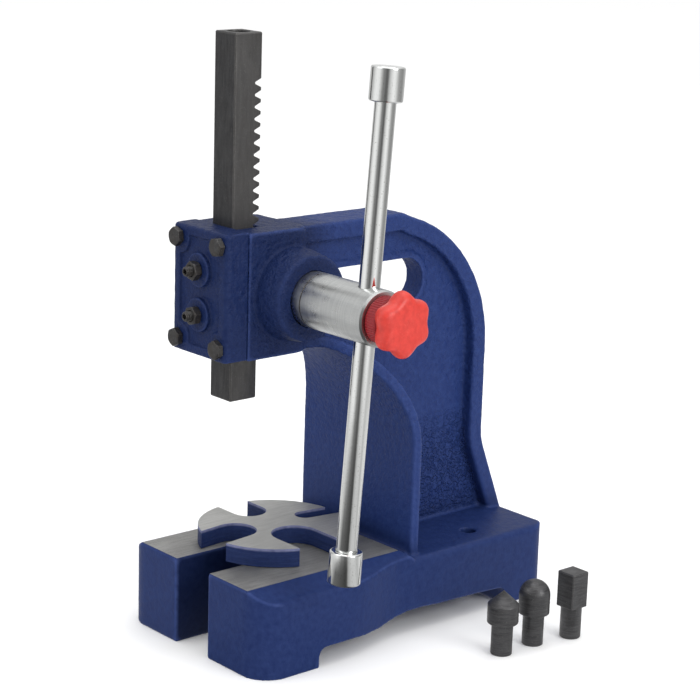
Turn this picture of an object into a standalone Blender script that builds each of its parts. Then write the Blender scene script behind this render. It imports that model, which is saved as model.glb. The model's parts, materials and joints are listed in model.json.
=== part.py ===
"""Bench arbor press with a rack ram, a lever-turned pinion shaft, a notched arbor plate and three ram tips.

Metres, +Z up. The front of the press faces -Y and the lever is on the +X side. Pieces are placed from
the ram's axis at bench level, under one empty that puts the world origin below the middle of the whole.
"""

import math

import bmesh
import bpy
from mathutils import Matrix

# Fits
GAP = 0.0003
RUNNING = 0.00008
SLIDING = 0.00015
OVERRUN = 0.006
WELD = 0.000001
FLAT = math.radians(0.05)
SHARP = math.radians(32)
STEEP = math.radians(50)

# Ram and its rack
RAM_SIDE = 0.0254
RAM_LENGTH = 0.28125
RAM_NOSE_Z = 0.20125
RAM_CHAMFER = 0.0009
RACK_PLAIN_END = 0.032
RACK_FIRST_TOOTH = 0.0421
SOCKET_RADIUS = 0.0089
SOCKET_DEPTH = 0.0285
TIP_SCREW_RADIUS = 0.003
TIP_SCREW_HEIGHT = 0.014
TIP_SCREW_KEY = 0.003
TIP_SCREW_KEY_DEPTH = 0.0022

# Gearing
TOOTH_PITCH = 0.009
TOOTH_COUNT = 13
PRESSURE_ANGLE = math.radians(25)
DEDENDUM_SHARE = 1.25
TOOTH_BACKLASH = 0.0003
RACK_ROOT_RADIUS = 0.0009

# Pinion shaft
PINION_Z = 0.2863
TOOTHED_LEFT_X = 0.0157
TOOTHED_RIGHT_X = 0.0165
SHAFT_END_X = 0.138
SHAFT_CHAMFER = 0.0014
SHAFT_RING_X = 0.069
SHAFT_RING_WIDTH = 0.0008
SHAFT_RING_DEPTH = 0.0004
JOURNAL_RADIUS = 0.0125
RETAINER_RADIUS = 0.018
RETAINER_THICKNESS = 0.003
RETAINER_SCREW_REACH = 0.016

# Lever
LEVER_X = 0.121
LEVER_RADIUS = 0.008
LEVER_LEAN = math.radians(4.1)
LEVER_ABOVE = 0.1812
LEVER_BELOW = 0.2055
CAP_RADIUS = 0.0126
CAP_LENGTH = 0.0255
CAP_ROUND = 0.0015
CAP_CROWN = 0.0055

# Clamp knob and its stud
STUD_RADIUS = 0.004
STUD_IN_KNOB = 0.0175
KNOB_SKIRT_RADIUS = 0.018
KNOB_NECK_RADIUS = 0.0163
KNOB_SKIRT_LENGTH = 0.0155
KNOB_HEAD_LENGTH = 0.0115
KNOB_RADIUS = 0.0232
KNOB_NECK_LENGTH = 0.0023
KNOB_LOBE_HEIGHT = 0.0019
KNOB_LOBES = 6
# each ring of the knob's head: how far along it, and the radius and lobe height that it has there
KNOB_HEAD_SHARES = (
    (0, 0.9, 0.8),
    (0.16, 0.985, 1),
    (0.35, 1, 1),
    (0.72, 1, 1),
    (0.92, 0.96, 1),
    (1, 0.86, 0.9),
)

# Head of the casting and its cover
HEAD_HALF = 0.0345
HEAD_BOTTOM_Z = 0.238
HEAD_TOP_Z = 0.336
HEAD_REAR_Y = 0.046
HEAD_EDGE = 0.003
HEAD_REAR_RADIUS = 0.009
HUB_X = 0.060
HUB_RADIUS = 0.036
HUB_FACE_RADIUS = 0.0338
HUB_TAPER_X = 0.040
HUB_EDGE = 0.005
SPOT_BOSS_X = 0.038
SPOT_BOSS_RADIUS = 0.026
COVER_INSET = 0.001
COVER_LIFT = 0.001
COVER_THICKNESS = 0.0217
COVER_CORNER = 0.0045
COVER_EDGE = 0.0025
FIELD_DEPTH = 0.0022
FIELD_HALF = 0.024
FIELD_MARGIN = 0.007
BOLT_MARGIN_X = 0.00815
BOLT_MARGIN_Z = 0.0098
BOLT_PAD_RADIUS = 0.013
SCREW_SPACING = 0.0346
SCREW_PAD_RADIUS = 0.0132
SCREW_PAD_PROUD = 0.0016
GIB_THICKNESS = 0.006
GIB_HALF = 0.0122
GIB_END_MARGIN = 0.006

# Fasteners
BOLT_RADIUS = 0.004
BOLT_ACROSS_FLATS = 0.013
BOLT_HEAD = 0.0053
BOLT_REACH = 0.020
NUT_HEIGHT = 0.0062
SCREW_PROUD = 0.0117
SCREW_KEY = 0.004
SCREW_KEY_DEPTH = 0.004

# Arm, column and throat
ARM_TOP_Z = 0.333
ARM_ARC_RADIUS = 0.121
ARM_ARC_START = 74
ARM_SHOULDER_Y = 0.156
COLUMN_REAR_Y = 0.2555
FLARE_END_Y = 0.2822
FLARE_RADIUS = 0.045
FLARE_LEAN = math.radians(22)
RIM_HALF = 0.019
RIM_THICKNESS = 0.0145
RIM_EDGE = 0.0022
WEB_HALF = 0.008
THROAT_Y = 0.130
THROAT_RADIUS = 0.083
THROAT_STEP = 0.001
FLANGE_HALF = 0.070
FLANGE_THICKNESS = 0.009
FLANGE_EDGE = 0.003
FLANGE_SHOULDER_Z = 0.150
FLANGE_SHOULDER_RADIUS = 0.103
FLANGE_FOOT_RADIUS = 0.006
HAND_HOLE_RADIUS = 0.01925
HAND_HOLE_Z = 0.27425
HAND_HOLE_FRONT_Y = 0.092
HAND_HOLE_REAR_Y = 0.168
HAND_HOLE_LIP = 0.006
HAND_HOLE_LIP_PROUD = 0.0022

# Base
BASE_FRONT_Y = 0.0375
BASE_REAR_Y = 0.2825
BASE_FRONT_HALF = 0.088
BASE_REAR_HALF = 0.077
BASE_CORNER = 0.024
BASE_REAR_CORNER = 0.018
WAIST_FRONT_Y = 0.048
WAIST_REAR_Y = 0.117
PAD_Z = 0.070
PAD_HALF = 0.0685
PAD_REAR_Y = 0.118
PAD_REAR_RAMP = 0.010
SHOULDER_DROP = 0.0075
SHOULDER_ROUND = 0.005
BASE_REAR_Z = 0.063
BASE_REAR_ROUND = 0.005
SLOT_HALF = 0.0202
SLOT_CENTRE_Y = 0.020
FRONT_FOOT_Y = 0.021
REAR_FOOT_Y = 0.234
FOOT_HEIGHT = 0.0155
FOOT_FILLET = 0.006
POCKET_HALF = 0.064
POCKET_FRONT_Y = 0.062
POCKET_REAR_Y = 0.190
POCKET_Z = 0.050
BENCH_HOLE_X = 0.0508
BENCH_HOLE_Y = 0.2122
BENCH_HOLE_RADIUS = 0.0065

# Arbor plate
PLATE_X = -0.007
PLATE_Y = 0.0495
PLATE_RADIUS = 0.0612
PLATE_THICKNESS = 0.015
PLATE_EDGE = 0.0012
# each notch: the way it faces, turned from the front, its round end's radius, that end's distance out, and
# how far its middle line passes beside the plate's centre
NOTCHES = (
    {"turn": math.radians(7), "radius": 0.0168, "reach": 0.0332, "aside": -0.0101},
    {"turn": math.radians(90), "radius": 0.0195, "reach": 0.0285, "aside": -0.0008},
    {"turn": math.radians(172), "radius": 0.0082, "reach": 0.0340, "aside": 0.0080},
    {"turn": math.radians(270), "radius": 0.0145, "reach": 0.0382, "aside": -0.0040},
)

# Tips that stand on the bench
SHANK_RADIUS = 0.0086
SHANK_LENGTH = 0.026
TIP_RADIUS = 0.0125
TIP_CHAMFER = 0.0015
SHANK_CHAMFER = 0.0008
CONE_X, CONE_Y = 0.1512, 0.1555
CONE_LAND = 0.0156
CONE_HEIGHT = 0.0531
BALL_X, BALL_Y = 0.1514, 0.1905
BALL_HEIGHT = 0.0542
SQUARE_X, SQUARE_Y = 0.1591, 0.2262
SQUARE_SIDE = 0.0178
SQUARE_HEIGHT = 0.056

# Facets round a full turn, then along an arc
FINE = 64
MEDIUM = 32
COARSE = 16
ARC_STEPS = 8
EDGE_STEPS = 3
LONG_ARC_STEPS = 12
PLATE_FACETS = 60
FACETS_PER_LOBE = 8
FLANK_STEPS = 4

# Places that follow from the sizes above
ram_half = RAM_SIDE / 2
ram_top_z = RAM_NOSE_Z + RAM_LENGTH
module = TOOTH_PITCH / math.pi
pitch_radius = module * TOOTH_COUNT / 2
tooth_dedendum = module * DEDENDUM_SHARE
rack_pitch_y = ram_half - module
pinion_y = rack_pitch_y + pitch_radius
shaft_radius = pitch_radius + module
seam_y = -ram_half
cover_front_y = seam_y - COVER_THICKNESS
cover_half = HEAD_HALF - COVER_INSET
cover_bottom_z = HEAD_BOTTOM_Z + COVER_LIFT
cover_top_z = HEAD_TOP_Z + COVER_LIFT
cover_middle_z = (cover_top_z + cover_bottom_z) / 2
screw_seat_y = cover_front_y - SCREW_PAD_PROUD
screw_end_y = screw_seat_y - SCREW_PROUD
gib_front_y = seam_y - SLIDING - GIB_THICKNESS
arm_arc_y = COLUMN_REAR_Y - ARM_ARC_RADIUS
arm_arc_z = ARM_TOP_Z - ARM_ARC_RADIUS
throat_centre_y = THROAT_Y - THROAT_RADIUS
throat_top_z = HEAD_BOTTOM_Z + THROAT_STEP
throat_centre_z = throat_top_z - THROAT_RADIUS
column_foot_z = BASE_REAR_Z - OVERRUN
flare_curve_z = FLARE_RADIUS * math.sin(FLARE_LEAN)
flare_curve_y = FLARE_RADIUS * (1 - math.cos(FLARE_LEAN))
flare_straight_z = (FLARE_END_Y - COLUMN_REAR_Y - flare_curve_y) / math.tan(FLARE_LEAN)
column_straight_z = BASE_REAR_Z + flare_straight_z + flare_curve_z
knob_back_x = SHAFT_END_X + GAP
plate_z = PAD_Z + GAP

# The whole reaches from the base's left side to the square tip, and from the gib screws to the base's rear
origin_x = (SQUARE_X + SQUARE_SIDE / 2 - BASE_FRONT_HALF) / 2
origin_y = (BASE_REAR_Y + screw_end_y) / 2


def clear_scene():
    for obj in list(bpy.data.objects):
        bpy.data.objects.remove(obj, do_unlink=True)
    for collection in list(bpy.data.collections):
        bpy.data.collections.remove(collection)


def new_collection(name):
    collection = bpy.data.collections.new(name)
    bpy.context.scene.collection.children.link(collection)
    return collection


def painted(name, colour, roughness, metallic):
    material = bpy.data.materials.new(name)
    material.use_nodes = True
    shader = material.node_tree.nodes["Principled BSDF"]
    shader.inputs["Base Color"].default_value = (*colour, 1)
    shader.inputs["Roughness"].default_value = roughness
    shader.inputs["Metallic"].default_value = metallic
    material.diffuse_color = (*colour, 1)
    return material


def empty(name, place, parent=None, rotation=(0, 0, 0)):
    obj = bpy.data.objects.new(name, None)
    parts.objects.link(obj)
    obj.parent = parent
    obj.location = place
    obj.rotation_euler = rotation
    return obj


def helper(name, mesh, parent, place=(0, 0, 0), rotation=(0, 0, 0)):
    """A mesh object in the cutters collection, from where finished pieces move to the parts."""
    obj = bpy.data.objects.new(name, mesh)
    cutters.objects.link(obj)
    obj.parent = parent
    obj.location = place
    obj.rotation_euler = rotation
    obj.hide_render = True
    obj.display_type = "WIRE"
    return obj


def smooth_by_angle():
    """A modifier's node group that shades smooth across every edge less sharp than an angle."""
    tree = bpy.data.node_groups.new("smooth by angle", "GeometryNodeTree")
    tree.is_modifier = True
    tree.interface.new_socket("Geometry", in_out="INPUT", socket_type="NodeSocketGeometry")
    tree.interface.new_socket("Geometry", in_out="OUTPUT", socket_type="NodeSocketGeometry")
    start, end = tree.nodes.new("NodeGroupInput"), tree.nodes.new("NodeGroupOutput")
    bend = tree.nodes.new("GeometryNodeInputMeshEdgeAngle")
    gentle = tree.nodes.new("FunctionNodeCompare")
    gentle.operation = "LESS_THAN"
    gentle.inputs[1].default_value = SHARP
    faces = tree.nodes.new("GeometryNodeSetShadeSmooth")
    edges = tree.nodes.new("GeometryNodeSetShadeSmooth")
    faces.domain, edges.domain = "FACE", "EDGE"
    tree.links.new(start.outputs["Geometry"], faces.inputs["Geometry"])
    tree.links.new(faces.outputs["Geometry"], edges.inputs["Geometry"])
    tree.links.new(bend.outputs["Unsigned Angle"], gentle.inputs[0])
    tree.links.new(gentle.outputs["Result"], edges.inputs["Shade Smooth"])
    tree.links.new(edges.outputs["Geometry"], end.inputs["Geometry"])
    return tree


def piece(obj, name, material):
    """Turns a helper into a named part with its material, shaded smooth where its edges are gentle."""
    cutters.objects.unlink(obj)
    parts.objects.link(obj)
    obj.name = name
    obj.hide_render = False
    obj.display_type = "TEXTURED"
    obj.data.materials.clear()
    obj.data.materials.append(material)
    shading = obj.modifiers.new("smooth by angle", "NODES")
    shading.node_group = smooth_shading
    return obj


def join(obj, other, operation):
    modifier = obj.modifiers.new(f"{operation.lower()} {other.name}", "BOOLEAN")
    modifier.object = other
    modifier.operation = operation
    modifier.solver = "EXACT"
    return obj


def add(obj, other):
    return join(obj, other, "UNION")


def cut(obj, other):
    return join(obj, other, "DIFFERENCE")


def rounded(obj, width, segments=2, angle=SHARP):
    modifier = obj.modifiers.new("rounded edges", "BEVEL")
    modifier.width = width
    modifier.segments = segments
    modifier.limit_method = "ANGLE"
    modifier.angle_limit = angle
    modifier.use_clamp_overlap = True
    return obj


def rounded_rims(obj, width, chosen, segments=3):
    """Rounds only the edges whose two ends both lie where the given test says."""
    graph = bmesh.new()
    graph.from_mesh(obj.data)
    weight = graph.edges.layers.float.new("bevel_weight_edge")
    for edge in graph.edges:
        edge[weight] = float(all(chosen(*point.co) for point in edge.verts))
    graph.to_mesh(obj.data)
    graph.free()
    modifier = obj.modifiers.new("rounded rims", "BEVEL")
    modifier.width = width
    modifier.segments = segments
    modifier.limit_method = "WEIGHT"
    return obj


def box(name, low, high, parent):
    graph = bmesh.new()
    bmesh.ops.create_cube(graph, size=1)
    sides = [b - a for a, b in zip(low, high)]
    middle = [(a + b) / 2 for a, b in zip(low, high)]
    bmesh.ops.transform(graph, matrix=Matrix.Diagonal((*sides, 1)), verts=graph.verts)
    bmesh.ops.translate(graph, vec=middle, verts=graph.verts)
    mesh = bpy.data.meshes.new(name)
    graph.to_mesh(mesh)
    graph.free()
    return helper(name, mesh, parent)


def settled(drawn):
    """The mesh that a curve or a modifier draws, welded, with each flat side made one face."""
    cutters.objects.link(drawn)
    bpy.context.view_layer.update()
    graph = bpy.context.evaluated_depsgraph_get()
    mesh = bpy.data.meshes.new_from_object(drawn.evaluated_get(graph))
    mesh.transform(drawn.matrix_world)
    bpy.data.objects.remove(drawn, do_unlink=True)
    graph = bmesh.new()
    graph.from_mesh(mesh)
    bmesh.ops.remove_doubles(graph, verts=graph.verts, dist=WELD)
    bmesh.ops.dissolve_limit(graph, angle_limit=FLAT, verts=graph.verts, edges=graph.edges)
    bmesh.ops.recalc_face_normals(graph, faces=graph.faces)
    graph.to_mesh(mesh)
    graph.free()
    return mesh


# A flat outline's own X, Y and thickness directions, for each plane it can stand in
PLANES = {
    "plan": Matrix.Identity(3),
    "side": Matrix(((0, 0, 1), (1, 0, 0), (0, 1, 0))),
    "front": Matrix(((1, 0, 0), (0, 0, -1), (0, 1, 0))),
}


def flat_solid(name, outline, plane, low, high, parent):
    """A flat outline made a solid from low to high across its plane, as a filled 2D curve."""
    curve = bpy.data.curves.new(name, "CURVE")
    curve.dimensions = "2D"
    curve.fill_mode = "BOTH"
    curve.extrude = (high - low) / 2
    spline = curve.splines.new("POLY")
    spline.points.add(len(outline) - 1)
    for point, (u, v) in zip(spline.points, outline):
        point.co = (u, v, 0, 1)
    spline.use_cyclic_u = True
    drawn = bpy.data.objects.new(name, curve)
    drawn.matrix_world = PLANES[plane].to_4x4() @ Matrix.Translation((0, 0, (high + low) / 2))
    return helper(name, settled(drawn), parent)


# Rotations that lay a piece's own Z along a direction
AXES = {"Z": (0, 0, 0), "X": (0, math.pi / 2, 0), "-Y": (math.pi / 2, 0, 0)}


def turned(name, profile, parent, place=(0, 0, 0), axis="Z", steps=MEDIUM):
    """A turned solid: (radius, height) points from the top of the axis down the outside to its bottom."""
    graph = bmesh.new()
    points = [graph.verts.new((radius, 0, height)) for radius, height in profile]
    for first, second in zip(points, points[1:]):
        graph.edges.new((first, second))
    mesh = bpy.data.meshes.new(name)
    graph.to_mesh(mesh)
    graph.free()
    drawn = bpy.data.objects.new(name, mesh)
    screw = drawn.modifiers.new("turned", "SCREW")
    screw.steps = steps
    screw.render_steps = steps
    screw.use_merge_vertices = True
    screw.merge_threshold = WELD
    return helper(name, settled(drawn), parent, place, AXES[axis])


def rod(name, radius, low, high, parent, place=(0, 0, 0), axis="Z", steps=MEDIUM, chamfer=0):
    """A plain round bar along an axis, with a chamfer at both ends if one is given."""
    if chamfer:
        profile = [(0, high), (radius - chamfer, high), (radius, high - chamfer)]
        profile += [(radius, low + chamfer), (radius - chamfer, low), (0, low)]
    else:
        profile = [(0, high), (radius, high), (radius, low), (0, low)]
    return turned(name, profile, parent, place, axis, steps)


def hexagon(name, across_flats, low, high, parent, place, axis):
    graph = bmesh.new()
    bmesh.ops.create_cone(
        graph,
        cap_ends=True,
        segments=6,
        radius1=across_flats / math.sqrt(3),
        radius2=across_flats / math.sqrt(3),
        depth=high - low,
    )
    bmesh.ops.translate(graph, vec=(0, 0, (high + low) / 2), verts=graph.verts)
    mesh = bpy.data.meshes.new(name)
    graph.to_mesh(mesh)
    graph.free()
    return helper(name, mesh, parent, place, AXES[axis])


def loft(name, rings, parent):
    """A solid through rings of equal count, for sections that change along a path."""
    graph = bmesh.new()
    rows = [[graph.verts.new(point) for point in ring] for ring in rings]
    for row, following in zip(rows, rows[1:]):
        for i in range(len(row)):
            j = (i + 1) % len(row)
            graph.faces.new((row[i], row[j], following[j], following[i]))
    graph.faces.new(rows[0])
    graph.faces.new(reversed(rows[-1]))
    bmesh.ops.recalc_face_normals(graph, faces=graph.faces)
    mesh = bpy.data.meshes.new(name)
    graph.to_mesh(mesh)
    graph.free()
    return helper(name, mesh, parent)


def arc(centre, radius, start, end, steps=ARC_STEPS):
    """Points on an arc from one angle to another, in degrees."""
    found = []
    for i in range(steps + 1):
        angle = math.radians(start + (end - start) * i / steps)
        found.append((centre[0] + radius * math.cos(angle), centre[1] + radius * math.sin(angle)))
    return found


def mirrored(points):
    """Closes a right-hand outline with its left-hand image."""
    return points + [(-u, v) for u, v in reversed(points)]


def base_outline():
    """Plan of the base: wide in front with big round corners, waisted to a narrower straight rear."""
    corner = (BASE_FRONT_HALF - BASE_CORNER, BASE_CORNER - BASE_FRONT_Y)
    half = arc(corner, BASE_CORNER, -90, 0)
    for i in range(ARC_STEPS + 1):
        along_share = i / ARC_STEPS
        inward_share = (1 - math.cos(math.pi * along_share)) / 2
        x = BASE_FRONT_HALF + (BASE_REAR_HALF - BASE_FRONT_HALF) * inward_share
        half.append((x, WAIST_FRONT_Y + (WAIST_REAR_Y - WAIST_FRONT_Y) * along_share))
    corner = (BASE_REAR_HALF - BASE_REAR_CORNER, BASE_REAR_Y - BASE_REAR_CORNER)
    half += arc(corner, BASE_REAR_CORNER, 0, 90)
    return mirrored(half)


def slot_outline():
    """Plan of the slot, open to the front, with a round end."""
    front = -BASE_FRONT_Y - OVERRUN
    end = arc((0, SLOT_CENTRE_Y), SLOT_HALF, 180, 0, LONG_ARC_STEPS)
    return [(-SLOT_HALF, front), *end, (SLOT_HALF, front)]


def make_base():
    base = flat_solid("base blank", base_outline(), "plan", 0, PAD_Z, press)
    top = PAD_Z + OVERRUN
    side = BASE_FRONT_HALF + OVERRUN
    knee_z = PAD_Z - SHOULDER_DROP
    knee_corner = (BASE_FRONT_HALF - SHOULDER_ROUND, knee_z - SHOULDER_ROUND)
    knee = arc(knee_corner, SHOULDER_ROUND, 90, 0, EDGE_STEPS)
    slope = [(PAD_HALF, top), (PAD_HALF, PAD_Z), *knee, (side, knee[-1][1]), (side, top)]
    front, rear = -BASE_FRONT_Y - OVERRUN, BASE_REAR_Y + OVERRUN
    cut(base, flat_solid("right shoulder", slope, "front", -rear, -front, press))
    cut(base, flat_solid("left shoulder", [(-u, v) for u, v in slope], "front", -rear, -front, press))
    round_centre = (BASE_REAR_Y - BASE_REAR_ROUND, BASE_REAR_Z - BASE_REAR_ROUND)
    lowered = [(PAD_REAR_Y, top), (PAD_REAR_Y, PAD_Z), (PAD_REAR_Y + PAD_REAR_RAMP, BASE_REAR_Z)]
    lowered += arc(round_centre, BASE_REAR_ROUND, 90, 0, EDGE_STEPS)
    lowered += [(rear, lowered[-1][1]), (rear, top)]
    cut(base, flat_solid("lowered rear", lowered, "side", -side, side, press))
    centre = (BASE_REAR_HALF - BASE_REAR_ROUND, BASE_REAR_Z - BASE_REAR_ROUND)
    edge = [(centre[0], top), *arc(centre, BASE_REAR_ROUND, 90, 0, EDGE_STEPS)]
    edge += [(side, edge[-1][1]), (side, top)]
    start = PAD_REAR_Y + PAD_REAR_RAMP
    cut(base, flat_solid("right rear edge", edge, "front", -rear, -start, press))
    cut(base, flat_solid("left rear edge", [(-u, v) for u, v in edge], "front", -rear, -start, press))
    cut(base, flat_solid("base slot", slot_outline(), "plan", -OVERRUN, top, press))
    relief = [(FRONT_FOOT_Y, -OVERRUN)]
    relief += arc((FRONT_FOOT_Y + FOOT_FILLET, FOOT_HEIGHT - FOOT_FILLET), FOOT_FILLET, 180, 90, EDGE_STEPS)
    relief += arc((REAR_FOOT_Y - FOOT_FILLET, FOOT_HEIGHT - FOOT_FILLET), FOOT_FILLET, 90, 0, EDGE_STEPS)
    relief += [(REAR_FOOT_Y, -OVERRUN)]
    cut(base, flat_solid("foot relief", relief, "side", -side, side, press))
    low, high = (-POCKET_HALF, POCKET_FRONT_Y, -OVERRUN), (POCKET_HALF, POCKET_REAR_Y, POCKET_Z)
    return cut(base, box("base pocket", low, high, press))


def outer_path(inset):
    """Side view of the arm's top and the column's rear down into the base, moved inwards by an inset."""
    path = [(inset, ARM_TOP_Z - inset), (ARM_SHOULDER_Y, ARM_TOP_Z - inset)]
    path += arc((arm_arc_y, arm_arc_z), ARM_ARC_RADIUS - inset, ARM_ARC_START, 0, LONG_ARC_STEPS)
    centre = (COLUMN_REAR_Y + FLARE_RADIUS, column_straight_z)
    path += arc(centre, FLARE_RADIUS + inset, 180, 180 + math.degrees(FLARE_LEAN), EDGE_STEPS)
    y, z = path[-1]
    path.append((y + (z - BASE_REAR_Z) * math.tan(FLARE_LEAN), BASE_REAR_Z))
    path.append((path[-1][0], column_foot_z - inset))
    return path


def throat_path(depth):
    """Side view of the throat's surface, moved into the metal by a depth, from the base up to the head."""
    path = [(THROAT_Y + depth, column_foot_z)]
    path += arc((throat_centre_y, throat_centre_z), THROAT_RADIUS + depth, 0, 90, LONG_ARC_STEPS)
    return path


def flange_half(z):
    """Half the throat flange's width, which narrows above its shoulder to the head's width."""
    rise = max(0, z - FLANGE_SHOULDER_Z)
    centre = FLANGE_HALF - FLANGE_SHOULDER_RADIUS
    reach = math.sqrt(max(0, FLANGE_SHOULDER_RADIUS**2 - rise**2))
    return max(HEAD_HALF - FLANGE_EDGE, centre + reach)


def flange_section(y, z, direction):
    """A round-edged cross-section of the flange at a point of the throat, square to its path."""
    half, edge = flange_half(z), FLANGE_EDGE
    corners = [
        (half - edge, edge, -90, 0),
        (half - edge, FLANGE_THICKNESS - edge, 0, 90),
        (edge - half, FLANGE_THICKNESS - edge, 90, 180),
        (edge - half, edge, 180, 270),
    ]
    ring = []
    for across, depth, start, end in corners:
        for u, v in arc((across, depth), edge, start, end, EDGE_STEPS):
            ring.append((u, y + v * math.cos(direction), z + v * math.sin(direction)))
    return ring


def make_flange():
    rings = [flange_section(THROAT_Y, column_foot_z, 0), flange_section(THROAT_Y, throat_centre_z, 0)]
    for i in range(1, LONG_ARC_STEPS + 1):
        direction = math.pi / 2 * i / LONG_ARC_STEPS
        y = throat_centre_y + THROAT_RADIUS * math.cos(direction)
        z = throat_centre_z + THROAT_RADIUS * math.sin(direction)
        rings.append(flange_section(y, z, direction))
    rings.append(flange_section(HEAD_REAR_Y - HEAD_REAR_RADIUS, throat_top_z, math.pi / 2))
    return loft("throat flange", rings, press)


def hand_hole_outline(radius):
    """A slot with two round ends, in the side view."""
    outline = arc((HAND_HOLE_FRONT_Y, HAND_HOLE_Z), radius, 270, 90, LONG_ARC_STEPS)
    return outline + arc((HAND_HOLE_REAR_Y, HAND_HOLE_Z), radius, 90, -90, LONG_ARC_STEPS)


def make_column():
    """The web with its rim, the throat flange and the hand hole."""
    web_outline = outer_path(RIM_THICKNESS / 2) + throat_path(FLANGE_THICKNESS / 2)
    web_outline.append((RIM_THICKNESS / 2, throat_top_z + FLANGE_THICKNESS / 2))
    column = flat_solid("web", web_outline, "side", -WEB_HALF, WEB_HALF, press)
    rim_outline = outer_path(0) + list(reversed(outer_path(RIM_THICKNESS)))
    rim = flat_solid("rim", rim_outline, "side", -RIM_HALF, RIM_HALF, press)
    rounded(rim, RIM_EDGE, angle=STEEP)
    add(column, rim)
    add(column, make_flange())
    foot_centre = (THROAT_Y - FLANGE_FOOT_RADIUS, BASE_REAR_Z + FLANGE_FOOT_RADIUS)
    foot = [(foot_centre[0], column_foot_z + GAP), *arc(foot_centre, FLANGE_FOOT_RADIUS, -90, 0, EDGE_STEPS)]
    inner_y = THROAT_Y + FLANGE_THICKNESS / 2
    foot += [(inner_y, foot[-1][1]), (inner_y, column_foot_z + GAP)]
    foot_half = FLANGE_HALF - 2 * FLANGE_EDGE
    add(column, flat_solid("flange foot", foot, "side", -foot_half, foot_half, press))
    lip_half = WEB_HALF + HAND_HOLE_LIP_PROUD
    lip_outline = hand_hole_outline(HAND_HOLE_RADIUS + HAND_HOLE_LIP)
    lip = flat_solid("hand hole lip", lip_outline, "side", -lip_half, lip_half, press)
    rounded(lip, HAND_HOLE_LIP_PROUD - GAP)
    add(column, lip)
    return column


def make_head():
    corner = (HEAD_HALF - HEAD_REAR_RADIUS, HEAD_REAR_Y - HEAD_REAR_RADIUS)
    half = [(HEAD_HALF, seam_y), *arc(corner, HEAD_REAR_RADIUS, 0, 90, EDGE_STEPS)]
    head = flat_solid("head block", mirrored(half), "plan", HEAD_BOTTOM_Z, HEAD_TOP_Z, press)
    rounded_rims(head, HEAD_EDGE, lambda x, y, z: z > HEAD_TOP_Z - GAP and y > seam_y + GAP)
    inner = HEAD_HALF - OVERRUN
    taper = [(0, HUB_X), *arc((HUB_FACE_RADIUS - HUB_EDGE, HUB_X - HUB_EDGE), HUB_EDGE, 90, 0, EDGE_STEPS)]
    taper += [(HUB_RADIUS, HUB_TAPER_X), (HUB_RADIUS, inner), (0, inner)]
    pinion_place = (0, pinion_y, PINION_Z)
    add(head, turned("hub", taper, press, pinion_place, "X", FINE))
    boss = rod("spot boss", SPOT_BOSS_RADIUS, -SPOT_BOSS_X, OVERRUN - HEAD_HALF, press, pinion_place, "X")
    return add(head, boss)


def bolt_places():
    """Name, x and z of the four cover bolts."""
    for row, upward in (("top", 1), ("bottom", -1)):
        for side, rightward in (("left", -1), ("right", 1)):
            x = rightward * (cover_half - BOLT_MARGIN_X)
            z = cover_middle_z + upward * (cover_top_z - cover_middle_z - BOLT_MARGIN_Z)
            yield f"{row}_{side}", x, z


def screw_places():
    """Name and z of the two gib screws."""
    yield "upper", cover_middle_z + SCREW_SPACING / 2
    yield "lower", cover_middle_z - SCREW_SPACING / 2


def make_frame_casting():
    frame = make_base()
    add(frame, make_column())
    add(frame, make_head())
    hole, side = hand_hole_outline(HAND_HOLE_RADIUS), RIM_HALF + OVERRUN
    cut(frame, flat_solid("hand hole", hole, "side", -side, side, press))
    way = ram_half + SLIDING
    low, high = (-way, seam_y - OVERRUN, HEAD_BOTTOM_Z - OVERRUN), (way, way, HEAD_TOP_Z + OVERRUN)
    cut(frame, box("ram way", low, high, press))
    place = (0, pinion_y, PINION_Z)
    wide, narrow = shaft_radius + RUNNING, JOURNAL_RADIUS + RUNNING
    right, step, left = HUB_X + OVERRUN, -TOOTHED_LEFT_X - GAP, -SPOT_BOSS_X - OVERRUN
    bore = [(0, right), (wide, right), (wide, step), (narrow, step), (narrow, left), (0, left)]
    cut(frame, turned("shaft bore", bore, press, place, "X", FINE))
    face = -seam_y
    hole_radius, depth = BOLT_RADIUS + GAP, BOLT_REACH + GAP
    for name, x, z in bolt_places():
        low, high = face - depth, face + OVERRUN
        cut(frame, rod(f"tapped {name}", hole_radius, low, high, press, (x, 0, z), "-Y", COARSE))
    for side, name in ((-1, "left"), (1, "right")):
        place = (side * BENCH_HOLE_X, BENCH_HOLE_Y, 0)
        top = BASE_REAR_Z + OVERRUN
        cut(frame, rod(f"{name} bench hole", BENCH_HOLE_RADIUS, -OVERRUN, top, press, place, steps=COARSE))
    return piece(frame, "frame_casting", blue_paint)


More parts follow.
